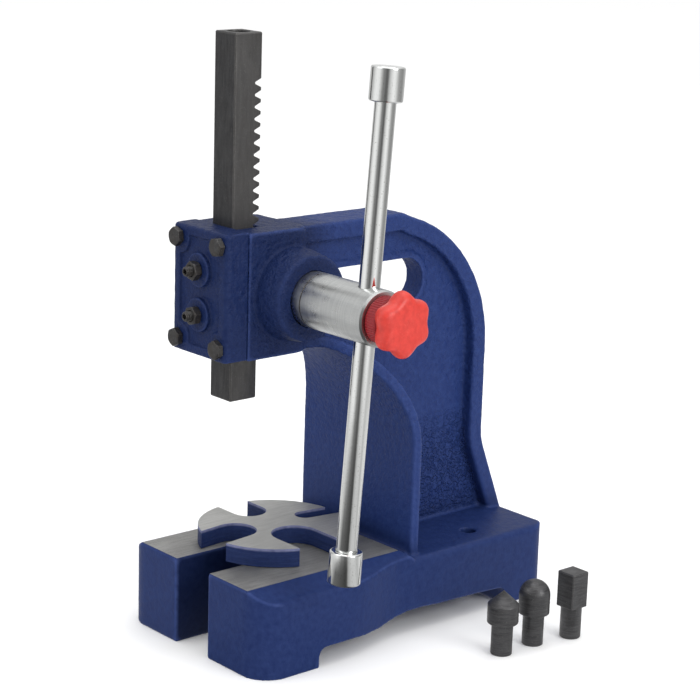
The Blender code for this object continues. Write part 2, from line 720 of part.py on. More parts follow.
def make_cover():
    """The front cover, with raised pads under its bolts and gib screws and a pocket for the gib."""
    corner = (cover_half - COVER_CORNER, COVER_CORNER + cover_front_y)
    half = arc(corner, COVER_CORNER, -90, 0, EDGE_STEPS) + [(cover_half, seam_y - GAP)]
    cover = flat_solid("cover blank", mirrored(half), "plan", cover_bottom_z, cover_top_z, press)
    rounded_rims(cover, COVER_EDGE, lambda x, y, z: z > cover_top_z - GAP and y < seam_y - 2 * GAP)
    low_z, high_z = cover_bottom_z + FIELD_MARGIN, cover_top_z - FIELD_MARGIN
    floor_y = cover_front_y + FIELD_DEPTH
    low, high = (-FIELD_HALF, cover_front_y - OVERRUN, low_z), (FIELD_HALF, floor_y, high_z)
    field = box("cover field", low, high, press)
    inner, front = -seam_y, OVERRUN - cover_front_y
    for name, x, z in bolt_places():
        beyond = front + OVERRUN
        cut(field, rod(f"pad {name}", BOLT_PAD_RADIUS, inner, beyond, press, (x, 0, z), "-Y", COARSE))
    cut(cover, field)
    for name, z in screw_places():
        low, high = inner + OVERRUN, -screw_seat_y
        add(cover, rod(f"screw pad {name}", SCREW_PAD_RADIUS, low, high, press, (0, 0, z), "-Y"))
    pocket_half = GIB_HALF + GAP
    low_z, high_z = cover_bottom_z + GIB_END_MARGIN - GAP, cover_top_z - GIB_END_MARGIN + GAP
    low, high = (-pocket_half, gib_front_y - GAP, low_z), (pocket_half, seam_y + OVERRUN, high_z)
    cut(cover, box("gib pocket", low, high, press))
    radius = BOLT_RADIUS + GAP
    for name, x, z in bolt_places():
        cut(cover, rod(f"bolt hole {name}", radius, 0, front, press, (x, 0, z), "-Y", COARSE))
    for name, z in screw_places():
        reach = OVERRUN - screw_seat_y
        cut(cover, rod(f"screw hole {name}", radius, inner, reach, press, (0, 0, z), "-Y", COARSE))
    return piece(cover, "cover_plate", blue_paint)


def make_gib():
    low = (-GIB_HALF, gib_front_y, cover_bottom_z + GIB_END_MARGIN)
    high = (GIB_HALF, seam_y - SLIDING, cover_top_z - GIB_END_MARGIN)
    return piece(box("gib", low, high, press), "gib_strip", bright_steel)


def make_cover_fasteners():
    """Four hex bolts hold the cover, and two grub screws with jam nuts press on the gib."""
    seat = GAP - cover_front_y
    for name, x, z in bolt_places():
        low, middle, high = -seam_y - BOLT_REACH, seat + BOLT_HEAD / 2, seat + BOLT_HEAD
        bolt = rod(f"shank {name}", BOLT_RADIUS, low, middle, press, (x, 0, z), "-Y", COARSE)
        add(bolt, hexagon(f"head {name}", BOLT_ACROSS_FLATS, seat, high, press, (x, 0, z), "-Y"))
        piece(bolt, f"cover_bolt_{name}", black_oxide)
    for name, z in screw_places():
        place = (0, 0, z)
        tip, end = -gib_front_y + GAP, -screw_end_y
        screw = rod(f"grub {name}", BOLT_RADIUS, tip, end, press, place, "-Y", COARSE, SHANK_CHAMFER)
        key = hexagon(f"key {name}", SCREW_KEY, end - SCREW_KEY_DEPTH, end + OVERRUN, press, place, "-Y")
        piece(cut(screw, key), f"adjusting_screw_{name}", black_oxide)
        seat = -screw_seat_y + GAP
        top = seat + NUT_HEIGHT
        nut = hexagon(f"nut {name}", BOLT_ACROSS_FLATS, seat, top, press, place, "-Y")
        low, high = seat - OVERRUN, top + OVERRUN
        hole = rod(f"nut hole {name}", BOLT_RADIUS + GAP, low, high, press, place, "-Y", COARSE)
        piece(cut(nut, hole), f"jam_nut_{name}", black_oxide)


def rack_gap(middle_z):
    """Side outline of the space between two rack teeth, with straight flanks and a rounded root."""
    slope = math.tan(PRESSURE_ANGLE)
    root_half = (TOOTH_PITCH + TOOTH_BACKLASH) / 4 - tooth_dedendum * slope
    root_y = rack_pitch_y - tooth_dedendum
    mouth_y = ram_half + OVERRUN
    centre_half = root_half + RACK_ROOT_RADIUS * (slope - 1 / math.cos(PRESSURE_ANGLE))
    centre = (root_y + RACK_ROOT_RADIUS, centre_half)
    upper = [(mouth_y, root_half + (mouth_y - root_y) * slope)]
    flank_end = 90 + math.degrees(PRESSURE_ANGLE)
    upper += arc(centre, RACK_ROOT_RADIUS, flank_end, 180, EDGE_STEPS)
    lower = [(y, -half) for y, half in reversed(upper)]
    return [(y, middle_z + half) for y, half in upper + lower]


def make_ram():
    """The square ram, with rack teeth cut in its rear face and a socket for a tip in each end."""
    ram = box("ram blank", (-ram_half, -ram_half, 0), (ram_half, ram_half, RAM_LENGTH), ram_axis)
    rounded(ram, RAM_CHAMFER, 1)
    first = RAM_LENGTH - RACK_FIRST_TOOTH + TOOTH_PITCH / 2
    lowest = RACK_PLAIN_END + TOOTH_PITCH / 2
    count = int((first - lowest) / TOOTH_PITCH) + 1
    side = ram_half + OVERRUN
    for i in range(count):
        outline = rack_gap(first - i * TOOTH_PITCH)
        cut(ram, flat_solid(f"rack gap {i + 1}", outline, "side", -side, side, ram_axis))
    cut(ram, rod("lower socket", SOCKET_RADIUS, -OVERRUN, SOCKET_DEPTH, ram_axis))
    cut(ram, rod("upper socket", SOCKET_RADIUS, RAM_LENGTH - SOCKET_DEPTH, RAM_LENGTH + OVERRUN, ram_axis))
    place = (0, 0, TIP_SCREW_HEIGHT)
    cut(ram, rod("tip screw hole", TIP_SCREW_RADIUS + GAP, -side, 0, ram_axis, place, "X", COARSE))
    piece(ram, "ram", black_oxide)
    outer = GAP - ram_half
    grub = rod("tip grub", TIP_SCREW_RADIUS, outer, -SOCKET_RADIUS - GAP, ram_axis, place, "X", COARSE)
    key_end = outer + TIP_SCREW_KEY_DEPTH
    key = hexagon("tip key", TIP_SCREW_KEY, outer - OVERRUN, key_end, ram_axis, place, "X")
    piece(cut(grub, key), "tip_set_screw", black_oxide)


def pinion_outline():
    """Thirteen involute teeth round the shaft's axis, with one space facing the rack tooth it holds."""
    base_radius = pitch_radius * math.cos(PRESSURE_ANGLE)
    root_radius = pitch_radius - tooth_dedendum
    involute_at_pitch = math.tan(PRESSURE_ANGLE) - PRESSURE_ANGLE
    half_at_pitch = (TOOTH_PITCH - TOOTH_BACKLASH) / 4 / pitch_radius
    flank = [(root_radius, half_at_pitch + involute_at_pitch)]
    for i in range(FLANK_STEPS + 1):
        radius = base_radius + (shaft_radius - base_radius) * i / FLANK_STEPS
        angle = math.acos(min(1, base_radius / radius))
        flank.append((radius, half_at_pitch + involute_at_pitch - (math.tan(angle) - angle)))
    nearest = round((ram_top_z - RACK_FIRST_TOOTH - PINION_Z) / TOOTH_PITCH)
    rack_tooth_z = ram_top_z - RACK_FIRST_TOOTH - nearest * TOOTH_PITCH
    space = math.pi - (rack_tooth_z - PINION_Z) / pitch_radius
    outline = []
    for i in range(TOOTH_COUNT):
        middle = space + math.tau * (i + 1 / 2) / TOOTH_COUNT
        tooth = [(radius, -turn) for radius, turn in flank]
        tooth += [(radius, turn) for radius, turn in reversed(flank)]
        for radius, turn in tooth:
            outline.append((radius * math.cos(middle + turn), radius * math.sin(middle + turn)))
    return outline


def make_pinion_shaft():
    left, right = -TOOTHED_LEFT_X, TOOTHED_RIGHT_X
    shaft = flat_solid("pinion teeth", pinion_outline(), "side", left, right + OVERRUN, pinion_axis)
    ring_top = SHAFT_RING_X + SHAFT_RING_WIDTH
    profile = [
        (0, SHAFT_END_X),
        (shaft_radius - SHAFT_CHAMFER, SHAFT_END_X),
        (shaft_radius, SHAFT_END_X - SHAFT_CHAMFER),
        (shaft_radius, ring_top),
        (shaft_radius - SHAFT_RING_DEPTH, ring_top),
        (shaft_radius - SHAFT_RING_DEPTH, SHAFT_RING_X),
        (shaft_radius, SHAFT_RING_X),
        (shaft_radius, right),
        (0, right),
    ]
    add(shaft, turned("shaft bar", profile, pinion_axis, axis="X", steps=FINE))
    end = -SPOT_BOSS_X - GAP
    add(shaft, rod("journal", JOURNAL_RADIUS, end, right, pinion_axis, axis="X", steps=FINE))
    tip = end + RETAINER_SCREW_REACH
    low, high = end - OVERRUN, tip + GAP
    cut(shaft, rod("journal hole", BOLT_RADIUS + GAP, low, high, pinion_axis, axis="X", steps=COARSE))
    reach = shaft_radius + OVERRUN
    cut(shaft, rod("lever hole", LEVER_RADIUS + GAP, -reach, reach, lever_axis))
    high = SHAFT_END_X + OVERRUN
    cut(shaft, rod("stud hole", STUD_RADIUS + GAP, LEVER_X, high, pinion_axis, axis="X", steps=COARSE))
    piece(shaft, "pinion_shaft", bright_steel)
    inner = end - GAP
    outer = inner - RETAINER_THICKNESS
    washer = rod("washer", RETAINER_RADIUS, outer, inner, pinion_axis, axis="X")
    low, high = outer - OVERRUN, inner + OVERRUN
    hole = rod("washer hole", BOLT_RADIUS + GAP, low, high, pinion_axis, axis="X", steps=COARSE)
    piece(cut(washer, hole), "retaining_washer", bright_steel)
    seat = outer - GAP
    low, middle = seat - BOLT_HEAD, seat - BOLT_HEAD / 2
    screw = rod("retaining shank", BOLT_RADIUS, middle, tip, pinion_axis, axis="X", steps=COARSE)
    add(screw, hexagon("retaining head", BOLT_ACROSS_FLATS, low, seat, pinion_axis, (0, 0, 0), "X"))
    piece(screw, "retaining_screw", black_oxide)


def make_lever():
    """A round bar that slides through the shaft, with a cap over each end."""
    low, high = CAP_CROWN + GAP - LEVER_BELOW, LEVER_ABOVE - CAP_CROWN - GAP
    bar = rod("bar", LEVER_RADIUS, low, high, lever_axis, chamfer=SHANK_CHAMFER)
    piece(bar, "lever_bar", chrome)
    bore = LEVER_RADIUS + GAP
    outside = [(0, LEVER_ABOVE), (CAP_RADIUS - CAP_ROUND, LEVER_ABOVE)]
    outside += [(CAP_RADIUS, LEVER_ABOVE - CAP_ROUND), (CAP_RADIUS, LEVER_ABOVE - CAP_LENGTH + CAP_ROUND)]
    outside += [(CAP_RADIUS - CAP_ROUND, LEVER_ABOVE - CAP_LENGTH), (bore, LEVER_ABOVE - CAP_LENGTH)]
    outside += [(bore, LEVER_ABOVE - CAP_CROWN), (0, LEVER_ABOVE - CAP_CROWN)]
    piece(turned("cap top", outside, lever_axis), "lever_cap_top", chrome)
    shift = LEVER_ABOVE - LEVER_BELOW
    below = [(radius, shift - height) for radius, height in reversed(outside)]
    piece(turned("cap bottom", below, lever_axis), "lever_cap_bottom", chrome)


def make_clamp():
    """A lobed knob on a stud, which is screwed into the shaft's end until it bears on the lever bar."""
    tip = LEVER_X + LEVER_RADIUS + GAP
    stud_end = knob_back_x + STUD_IN_KNOB
    sizes = {"axis": "X", "steps": COARSE, "chamfer": SHANK_CHAMFER}
    stud = rod("stud", STUD_RADIUS, tip, stud_end, pinion_axis, **sizes)
    piece(stud, "clamp_stud", bright_steel)
    seam = knob_back_x + KNOB_SKIRT_LENGTH
    stations = [(knob_back_x, KNOB_SKIRT_RADIUS, 0), (seam - KNOB_NECK_LENGTH, KNOB_NECK_RADIUS, 0)]
    for along, radius, lobe in KNOB_HEAD_SHARES:
        stations.append((seam + KNOB_HEAD_LENGTH * along, KNOB_RADIUS * radius, KNOB_LOBE_HEIGHT * lobe))
    rings = []
    facets = KNOB_LOBES * FACETS_PER_LOBE
    for x, radius, lobe in stations:
        ring = []
        for i in range(facets):
            angle = math.tau * i / facets
            reach = radius + lobe * math.cos(KNOB_LOBES * (angle - math.pi / 2))
            ring.append((x, reach * math.cos(angle), reach * math.sin(angle)))
        rings.append(ring)
    knob = loft("knob body", rings, pinion_axis)
    low, high = knob_back_x - OVERRUN, stud_end + GAP
    cut(knob, rod("knob hole", STUD_RADIUS + GAP, low, high, pinion_axis, axis="X", steps=COARSE))
    piece(knob, "clamp_knob", red_plastic)


def notch_outline(notch):
    """Plan of one notch, a slot with a round end that opens through the plate's rim."""
    radius, reach, aside = notch["radius"], notch["reach"], notch["aside"]
    rim = PLATE_RADIUS + OVERRUN
    end = arc((aside, reach), radius, 0, -180, LONG_ARC_STEPS)
    points = [(aside + radius, rim), *end, (aside - radius, rim)]
    cos, sin = math.cos(notch["turn"]), math.sin(notch["turn"])
    return [(u * cos + v * sin, u * sin - v * cos) for u, v in points]


def make_plate():
    """The loose round plate with four notches of different widths, to stand work on over the slot."""
    rim = arc((0, 0), PLATE_RADIUS, 0, 360, PLATE_FACETS)[1:]
    plate = flat_solid("plate blank", rim, "plan", 0, PLATE_THICKNESS, plate_axis)
    for i, notch in enumerate(NOTCHES):
        outline = notch_outline(notch)
        top = PLATE_THICKNESS + OVERRUN
        cut(plate, flat_solid(f"notch {i + 1}", outline, "plan", -OVERRUN, top, plate_axis))
    rounded(plate, PLATE_EDGE, 1, STEEP)
    piece(plate, "arbor_plate", machined_plate)


def make_tips():
    """Cone, ball and square tips for the ram's socket, standing on the bench."""
    shank = [(TIP_RADIUS, SHANK_LENGTH + TIP_CHAMFER), (TIP_RADIUS - TIP_CHAMFER, SHANK_LENGTH)]
    shank += [(SHANK_RADIUS, SHANK_LENGTH), (SHANK_RADIUS, SHANK_CHAMFER)]
    shank += [(SHANK_RADIUS - SHANK_CHAMFER, 0), (0, 0)]
    land = SHANK_LENGTH + CONE_LAND
    cone = [(0, CONE_HEIGHT), (TIP_RADIUS, land), *shank]
    piece(turned("cone", cone, press, (CONE_X, CONE_Y, 0)), "cone_tip", black_oxide)
    centre = BALL_HEIGHT - TIP_RADIUS
    ball = [(0, BALL_HEIGHT), *arc((0, centre), TIP_RADIUS, 90, 0)[1:]]
    piece(turned("ball", ball + shank, press, (BALL_X, BALL_Y, 0)), "ball_tip", black_oxide)
    half = SQUARE_SIDE / 2
    low, high = (-half, -half, SHANK_LENGTH), (half, half, SQUARE_HEIGHT)
    square = box("square head", low, high, press)
    square.location = (SQUARE_X, SQUARE_Y, 0)
    rounded(square, SHANK_CHAMFER, 1)
    top = SHANK_LENGTH + OVERRUN
    pin = [(0, top), (SHANK_RADIUS, top), *shank[3:]]
    add(square, turned("square shank", pin, press, (SQUARE_X, SQUARE_Y, 0)))
    piece(square, "square_tip", black_oxide)


clear_scene()
parts = new_collection("arbor_press")
cutters = new_collection("cutters")
smooth_shading = smooth_by_angle()
blue_paint = painted("blue casting paint", (0.035, 0.06, 0.21), 0.5, 0)
black_oxide = painted("black oxide steel", (0.045, 0.045, 0.05), 0.45, 0.7)
bright_steel = painted("bright zinc steel", (0.62, 0.63, 0.62), 0.35, 1)
chrome = painted("chrome", (0.8, 0.8, 0.8), 0.12, 1)
red_plastic = painted("red plastic", (0.8, 0.06, 0.04), 0.4, 0)
machined_plate = painted("machined iron", (0.33, 0.32, 0.32), 0.45, 0.8)

press = empty("press", (-origin_x, -origin_y, 0))
ram_axis = empty("ram axis", (0, 0, RAM_NOSE_Z), press)
pinion_axis = empty("pinion axis", (0, pinion_y, PINION_Z), press)
lever_axis = empty("lever axis", (LEVER_X, 0, 0), pinion_axis, (-LEVER_LEAN, 0, 0))
plate_axis = empty("plate axis", (PLATE_X, PLATE_Y, plate_z), press)

make_frame_casting()
make_cover()
make_gib()
make_cover_fasteners()
make_ram()
make_pinion_shaft()
make_lever()
make_clamp()
make_plate()
make_tips()
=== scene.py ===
import json
import math

import bmesh
import bpy
import numpy as np
from mathutils import Matrix, Vector, noise


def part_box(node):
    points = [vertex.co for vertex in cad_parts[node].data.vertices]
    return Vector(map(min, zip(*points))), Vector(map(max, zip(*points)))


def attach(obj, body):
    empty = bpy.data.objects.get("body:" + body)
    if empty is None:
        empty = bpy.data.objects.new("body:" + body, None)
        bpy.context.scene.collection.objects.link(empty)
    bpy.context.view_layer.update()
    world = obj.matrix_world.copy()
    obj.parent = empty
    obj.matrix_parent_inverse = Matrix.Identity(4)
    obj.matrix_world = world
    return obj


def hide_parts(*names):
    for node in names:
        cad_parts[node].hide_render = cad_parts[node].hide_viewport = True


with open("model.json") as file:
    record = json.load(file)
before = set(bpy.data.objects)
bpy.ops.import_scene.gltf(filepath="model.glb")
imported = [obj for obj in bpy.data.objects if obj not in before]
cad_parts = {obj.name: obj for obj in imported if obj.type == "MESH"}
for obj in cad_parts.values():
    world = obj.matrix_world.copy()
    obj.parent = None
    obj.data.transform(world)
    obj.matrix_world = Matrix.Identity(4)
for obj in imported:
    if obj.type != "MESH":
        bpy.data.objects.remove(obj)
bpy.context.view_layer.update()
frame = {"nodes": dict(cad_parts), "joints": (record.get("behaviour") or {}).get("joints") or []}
nodes = frame["nodes"]
joints = {joint["name"]: joint for joint in frame["joints"]}

# Places that everything else is measured from, in metres
ramLow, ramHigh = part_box("ram")
ramX, ramY = (ramLow.x + ramHigh.x) / 2, (ramLow.y + ramHigh.y) / 2
shaftPlace = Vector(joints["pinion_turn"]["pos_m"])
leverUp = Vector(joints["lever_slide"]["axis"])
plateLow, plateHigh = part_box("arbor_plate")
coverLow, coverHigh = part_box("cover_plate")
shaftLow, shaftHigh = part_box("pinion_shaft")
shaftRadius = (shaftHigh.z - shaftLow.z) / 2
black, white = (0, 0, 0, 1), (1, 1, 1, 1)


# Node trees

def feed(tree, value, target):
    # the value is another node's socket or a plain value
    if isinstance(value, bpy.types.NodeSocket):
        tree.links.new(value, target)
    else:
        target.default_value = value


def addNode(tree, kind, inputs=None, **settings):
    node = tree.nodes.new(kind)
    for name, value in settings.items():
        setattr(node, name, value)
    for socket, value in (inputs or {}).items():
        feed(tree, value, node.inputs[socket])
    return node


def calculate(tree, operation, first, second=0.0):
    node = addNode(tree, "ShaderNodeMath", {0: first, 1: second}, operation=operation)
    return node.outputs[0]


def multiply(tree, product, *others):
    for other in others:
        product = calculate(tree, "MULTIPLY", product, other)
    return product


def alignment(tree, first, second):
    # the cosine of the angle between two directions
    node = addNode(tree, "ShaderNodeVectorMath", {0: first, 1: second}, operation="DOT_PRODUCT")
    return node.outputs["Value"]


def remap(tree, value, low, high, toLow=0.0, toHigh=1.0):
    inputs = {"Value": value, "From Min": low, "From Max": high, "To Min": toLow, "To Max": toHigh}
    return addNode(tree, "ShaderNodeMapRange", inputs).outputs["Result"]


def between(tree, share, low, high):
    return remap(tree, share, 0, 1, low, high)


def blendColours(tree, share, first, second):
    # the Mix node keeps its colours behind its sockets for numbers and vectors
    inputs = {0: share, 6: first, 7: second}
    return addNode(tree, "ShaderNodeMix", inputs, data_type="RGBA").outputs[2]


def blendValues(tree, share, first, second):
    return addNode(tree, "ShaderNodeMix", {0: share, 2: first, 3: second}).outputs[0]


def objectPlace(tree):
    return addNode(tree, "ShaderNodeTexCoord").outputs["Object"]


def noiseOver(tree, scale, detail, **more):
    inputs = {"Vector": objectPlace(tree), "Scale": scale, "Detail": detail, **more}
    return addNode(tree, "ShaderNodeTexNoise", inputs).outputs[0]


def newGroup(name, inputs, outputs):
    # inputs holds their usual values, where a tuple makes a vector. Only a normal is a vector
    # among the outputs
    tree = bpy.data.node_groups.new(name, "ShaderNodeTree")
    for socket, value in inputs.items():
        kind = "NodeSocketVector" if isinstance(value, tuple) else "NodeSocketFloat"
        made = tree.interface.new_socket(socket, in_out="INPUT", socket_type=kind)
        made.default_value = value
    for socket in outputs:
        kind = "NodeSocketVector" if socket == "Normal" else "NodeSocketFloat"
        tree.interface.new_socket(socket, in_out="OUTPUT", socket_type=kind)
    given = tree.nodes.new("NodeGroupInput").outputs
    return tree, given, tree.nodes.new("NodeGroupOutput").inputs


def useGroup(tree, group, **inputs):
    return addNode(tree, "ShaderNodeGroup", inputs, node_tree=group).outputs


# Shared effects. Ranges are the least and most of the noise that counts, then what they become

edgeWear = {
    "samples": 6,
    "alignment": (0.995, 0.86),
    "detail": 3.0,
    "breakup": (0.3, 0.65, 0.35, 1.0),
}


def makeWornEdges():
    # the rounded normal of a small bevel, and a mask of the edges that it rounds, broken up
    inputs = {"Radius": 0.001, "Breakup": 300.0}
    tree, given, result = newGroup("worn edges", inputs, ("Edge", "Normal"))
    rounded = addNode(tree, "ShaderNodeBevel", {"Radius": given["Radius"]}).outputs[0]
    rounded.node.samples = edgeWear["samples"]
    flat = addNode(tree, "ShaderNodeNewGeometry").outputs["Normal"]
    edge = remap(tree, alignment(tree, rounded, flat), *edgeWear["alignment"])
    uneven = noiseOver(tree, given["Breakup"], edgeWear["detail"])
    feed(tree, multiply(tree, edge, remap(tree, uneven, *edgeWear["breakup"])), result["Edge"])
    feed(tree, rounded, result["Normal"])
    return tree


sandForm = {
    "sandDetail": 2.0,
    "sandShare": 0.35,
    "lumpDetail": 3.0,
    "wormScale": 210.0,
    "wormDetail": 1.5,
    "wormBend": 1.6,
    "ridges": (0.42, 0.6),
    "tone": (0.3, 0.7),
}


def makeCastSkin():
    # sand grain, soft lumps and the wormy ripple of a sand casting under paint
    inputs = {"Grain": 900.0, "Lumps": 140.0, "Ripple": 0.0}
    tree, given, result = newGroup("cast skin", inputs, ("Height", "Tone"))
    sand = noiseOver(tree, given["Grain"], sandForm["sandDetail"])
    lumps = noiseOver(tree, given["Lumps"], sandForm["lumpDetail"])
    scale, detail = sandForm["wormScale"], sandForm["wormDetail"]
    worms = noiseOver(tree, scale, detail, Distortion=sandForm["wormBend"])
    height = calculate(tree, "ADD", multiply(tree, sand, sandForm["sandShare"]), lumps)
    ridges = multiply(tree, remap(tree, worms, *sandForm["ridges"]), given["Ripple"])
    feed(tree, calculate(tree, "ADD", height, ridges), result["Height"])
    feed(tree, remap(tree, lumps, *sandForm["tone"]), result["Tone"])
    return tree


# breakup of the painted highlights on the casting's corners and fillets
highlightBreakup = {"scale": 180.0, "detail": 3.0, "breakup": (0.3, 0.62, 0.5, 1.0)}


def makeCastEdges():
    # the casting's outer corners and inner fillets, from the bend in millimetres on its mesh. They
    # mark where highlights are painted
    inputs = {"Least": 0.3, "Most": 1.0}
    tree, given, result = newGroup("cast edges", inputs, ("Ridge", "Hollow"))
    bend = addNode(tree, "ShaderNodeAttribute", attribute_name="bend").outputs["Fac"]
    uneven = noiseOver(tree, highlightBreakup["scale"], highlightBreakup["detail"])
    share = remap(tree, uneven, *highlightBreakup["breakup"])
    for name, side in (("Ridge", 1.0), ("Hollow", -1.0)):
        found = remap(tree, multiply(tree, bend, side), given["Least"], given["Most"])
        feed(tree, multiply(tree, found, share), result[name])
    return tree


lineForm = {"detail": 4.0, "roughness": 0.7, "tone": (0.3, 0.7)}


def makeToolLines():
    # fine lines left by a lathe or a grinder, drawn out along the directions of small stretch
    inputs = {"Stretch": (20.0, 2600.0, 20.0), "Waver": 0.2}
    tree, given, result = newGroup("tool lines", inputs, ("Height", "Tone"))
    place = {"Vector": objectPlace(tree), "Scale": given["Stretch"]}
    fine = {
        "Vector": addNode(tree, "ShaderNodeMapping", place).outputs[0],
        "Scale": 1.0,
        "Detail": lineForm["detail"],
        "Roughness": lineForm["roughness"],
        "Distortion": given["Waver"],
    }
    lines = addNode(tree, "ShaderNodeTexNoise", fine).outputs[0]
    feed(tree, lines, result["Height"])
    feed(tree, remap(tree, lines, *lineForm["tone"]), result["Tone"])
    return tree


mottleForm = {"Patches": ("Patch", 5.0, (0.35, 0.65)), "Specks": ("Speck", 1.0, (0.66, 0.74))}


def makeMottle():
    # cloudy patches with a few sharper specks, for oxide, grime and dust
    inputs = {"Patch": 60.0, "Speck": 900.0, "Amount": 1.0}
    tree, given, result = newGroup("mottle", inputs, ("Patches", "Specks"))
    for name, (scale, detail, shown) in mottleForm.items():
        found = remap(tree, noiseOver(tree, given[scale], detail), *shown)
        feed(tree, multiply(tree, found, given["Amount"]), result[name])
    return tree


wornEdges = makeWornEdges()
castSkin = makeCastSkin()
castEdges = makeCastEdges()
toolLines = makeToolLines()
mottle = makeMottle()
print("shared effects made")


# Materials

def newMaterial(name):
    material = bpy.data.materials.new(name)
    material.use_nodes = True
    return material, material.node_tree, material.node_tree.nodes["Principled BSDF"].inputs


def setSurface(tree, shader, colour, roughness, height, relief, normal=None):
    # relief is how far the bump reaches, in metres, and its strength
    distance, strength = relief
    inputs = {"Height": height, "Distance": distance, "Strength": strength}
    if normal is not None:
        inputs["Normal"] = normal
    feed(tree, colour, shader["Base Color"])
    feed(tree, roughness, shader["Roughness"])
    feed(tree, addNode(tree, "ShaderNodeBump", inputs).outputs[0], shader["Normal"])


def facing(tree, direction, least):
    # 1 where the surface faces that way, from its own normal
    flat = addNode(tree, "ShaderNodeNewGeometry").outputs["True Normal"]
    return calculate(tree, "GREATER_THAN", alignment(tree, flat, direction), least)


def placeAlong(tree, axis):
    return addNode(tree, "ShaderNodeSeparateXYZ", {"Vector": objectPlace(tree)}).outputs[axis]


def band(tree, axis, low, high, fade):
    # 1 between two places along an axis, fading out on both sides
    along = placeAlong(tree, axis)
    rising = remap(tree, along, low - fade, low)
    return multiply(tree, rising, remap(tree, along, high, high + fade, 1.0, 0.0))


# Where the frame's pad is ground bare, where its slot's walls get painted shade, and where its
# web's skin is rough
pad = {"top": plateLow.z - 0.0003, "rear": ramY + 0.118, "tolerance": 0.0004, "upright": 0.98}
slot = {"side": 0.0208, "back": ramY + 0.05, "fade": 0.0005}
roughSkin = {
    "bottom": (0.064, 0.068),
    "top": (0.090, 0.160, 1.0, 0.0),
    "front": (0.0205, 0.0225),
    "side": 0.0115,
    "fade": 0.001,
    "ripple": (0.15, 6.5),
}


def groundPad(tree):
    reach = pad["tolerance"]
    level = band(tree, "Z", pad["top"] - reach, pad["top"] + reach, reach)
    ahead = calculate(tree, "LESS_THAN", placeAlong(tree, "Y"), pad["rear"])
    return multiply(tree, level, ahead, facing(tree, (0, 0, 1), pad["upright"]))


# the slot's inner walls, which get painted shade
def slotShadow(tree):
    below = calculate(tree, "LESS_THAN", placeAlong(tree, "Z"), pad["top"] - pad["tolerance"])
    ahead = calculate(tree, "LESS_THAN", placeAlong(tree, "Y"), slot["back"])
    inside = band(tree, "X", ramX - slot["side"], ramX + slot["side"], slot["fade"])
    return multiply(tree, below, ahead, inside)


def roughWeb(tree):
    above = remap(tree, placeAlong(tree, "Z"), *roughSkin["bottom"])
    below = remap(tree, placeAlong(tree, "Z"), *roughSkin["top"])
    web = band(tree, "X", ramX - roughSkin["side"], ramX + roughSkin["side"], roughSkin["fade"])
    behind = remap(tree, placeAlong(tree, "Y"), *roughSkin["front"])
    return between(tree, multiply(tree, above, below, web, behind), *roughSkin["ripple"])


def groundPlate(tree):
    top = plateHigh.z - pad["tolerance"]
    high = calculate(tree, "GREATER_THAN", placeAlong(tree, "Z"), top)
    return multiply(tree, high, facing(tree, (0, 0, 1), pad["upright"]))


def scrapedRim(tree):
    depth = plateEdge["depth"]
    return remap(tree, placeAlong(tree, "Z"), plateHigh.z - depth, plateHigh.z - depth / 2)


paint = {
    "deep": (0.0136, 0.0292, 0.121, 1),
    "lit": (0.0201, 0.0409, 0.150, 1),
    # the colour of the painted highlight on corners and fillets, and of the tool lines on the
    # plate's rim
    "highlightAndToolLines": (0.050, 0.082, 0.250, 1),
    "relief": (0.0011, 0.8),
    "roughness": (0.38, 0.52),
    "sheen": 0.12,
    "edges": {"Least": 0.24, "Most": 0.75},
    "skin": {"Grain": 520.0, "Lumps": 230.0},
    # how strong the painted highlight on outer corners is
    "cornerHighlight": 0.6,
    # how dark the painted shade on the slot's walls is
    "slotShade": 0.45,
    # between the first two places, these go from the third value to the fourth
    # fade, column and base paint in light and shade: the head is painted darker, the column and
    # the base paler
    "fade": (0.20, 0.255, 0.77, 0.53),
    "column": (ramY + 0.055, ramY + 0.085, 0.53, 1.0),
    "base": (0.070, 0.082, 0.77, 1.0),
    "coarse": (0.08, 0.22, 0.24, 1.8),
    # the painted highlight on fillets low on the base, gone higher up
    "fillets": (0.075, 0.08, 0.45, 0.0),
}
iron = {
    "dark": (0.20, 0.198, 0.192, 1),
    "light": (0.42, 0.418, 0.408, 1),
    "roughness": (0.36, 0.48),
}
plateIron = {
    "dark": (0.35, 0.348, 0.335, 1),
    "light": (0.56, 0.558, 0.54, 1),
    "roughness": (0.40, 0.50),
}
grinding = {
    "lines": {"Stretch": (900.0, 30.0, 40.0), "Waver": 0.8},
    "stains": {"Patch": 40.0, "Speck": 700.0, "Amount": 0.8},
    "stained": 0.6,
    "metallic": 0.75,
}
plateEdge = {
    "depth": 0.0026,
    "colour": (0.20, 0.215, 0.36, 1),
    "stretch": (30.0, 30.0, 1500.0),
    "lines": 0.25,
    "tone": (0.55, 1.0),
}


def paintedLightTone(tree, dark, paintedShade):
    # painted light and shade: the base and column are painted a little paler than the head, and
    # the dark places, such as the slot's walls, get painted shade darker than both
    column = multiply(
        tree,
        remap(tree, placeAlong(tree, "Y"), *paint["column"]),
        remap(tree, placeAlong(tree, "Z"), *paint["base"]),
    )
    fade = remap(tree, placeAlong(tree, "Z"), *paint["fade"])
    tone = multiply(tree, calculate(tree, "MAXIMUM", fade, column), paintedShade)
    # painted shade on the slot's walls
    if dark:
        tone = multiply(tree, tone, between(tree, dark(tree), 1.0, paint["slotShade"]))
    return tone


def groundMetal(tree, metal):
    # colour, roughness and height of iron left bare by a grinder
    ground = useGroup(tree, toolLines, **grinding["lines"])
    stains = useGroup(tree, mottle, **grinding["stains"])
    colour = blendColours(tree, ground["Tone"], metal["dark"], metal["light"])
    stained = multiply(tree, stains["Patches"], grinding["stained"])
    colour = blendColours(tree, stained, colour, metal["dark"])
    return colour, between(tree, ground["Tone"], *metal["roughness"]), ground["Height"]


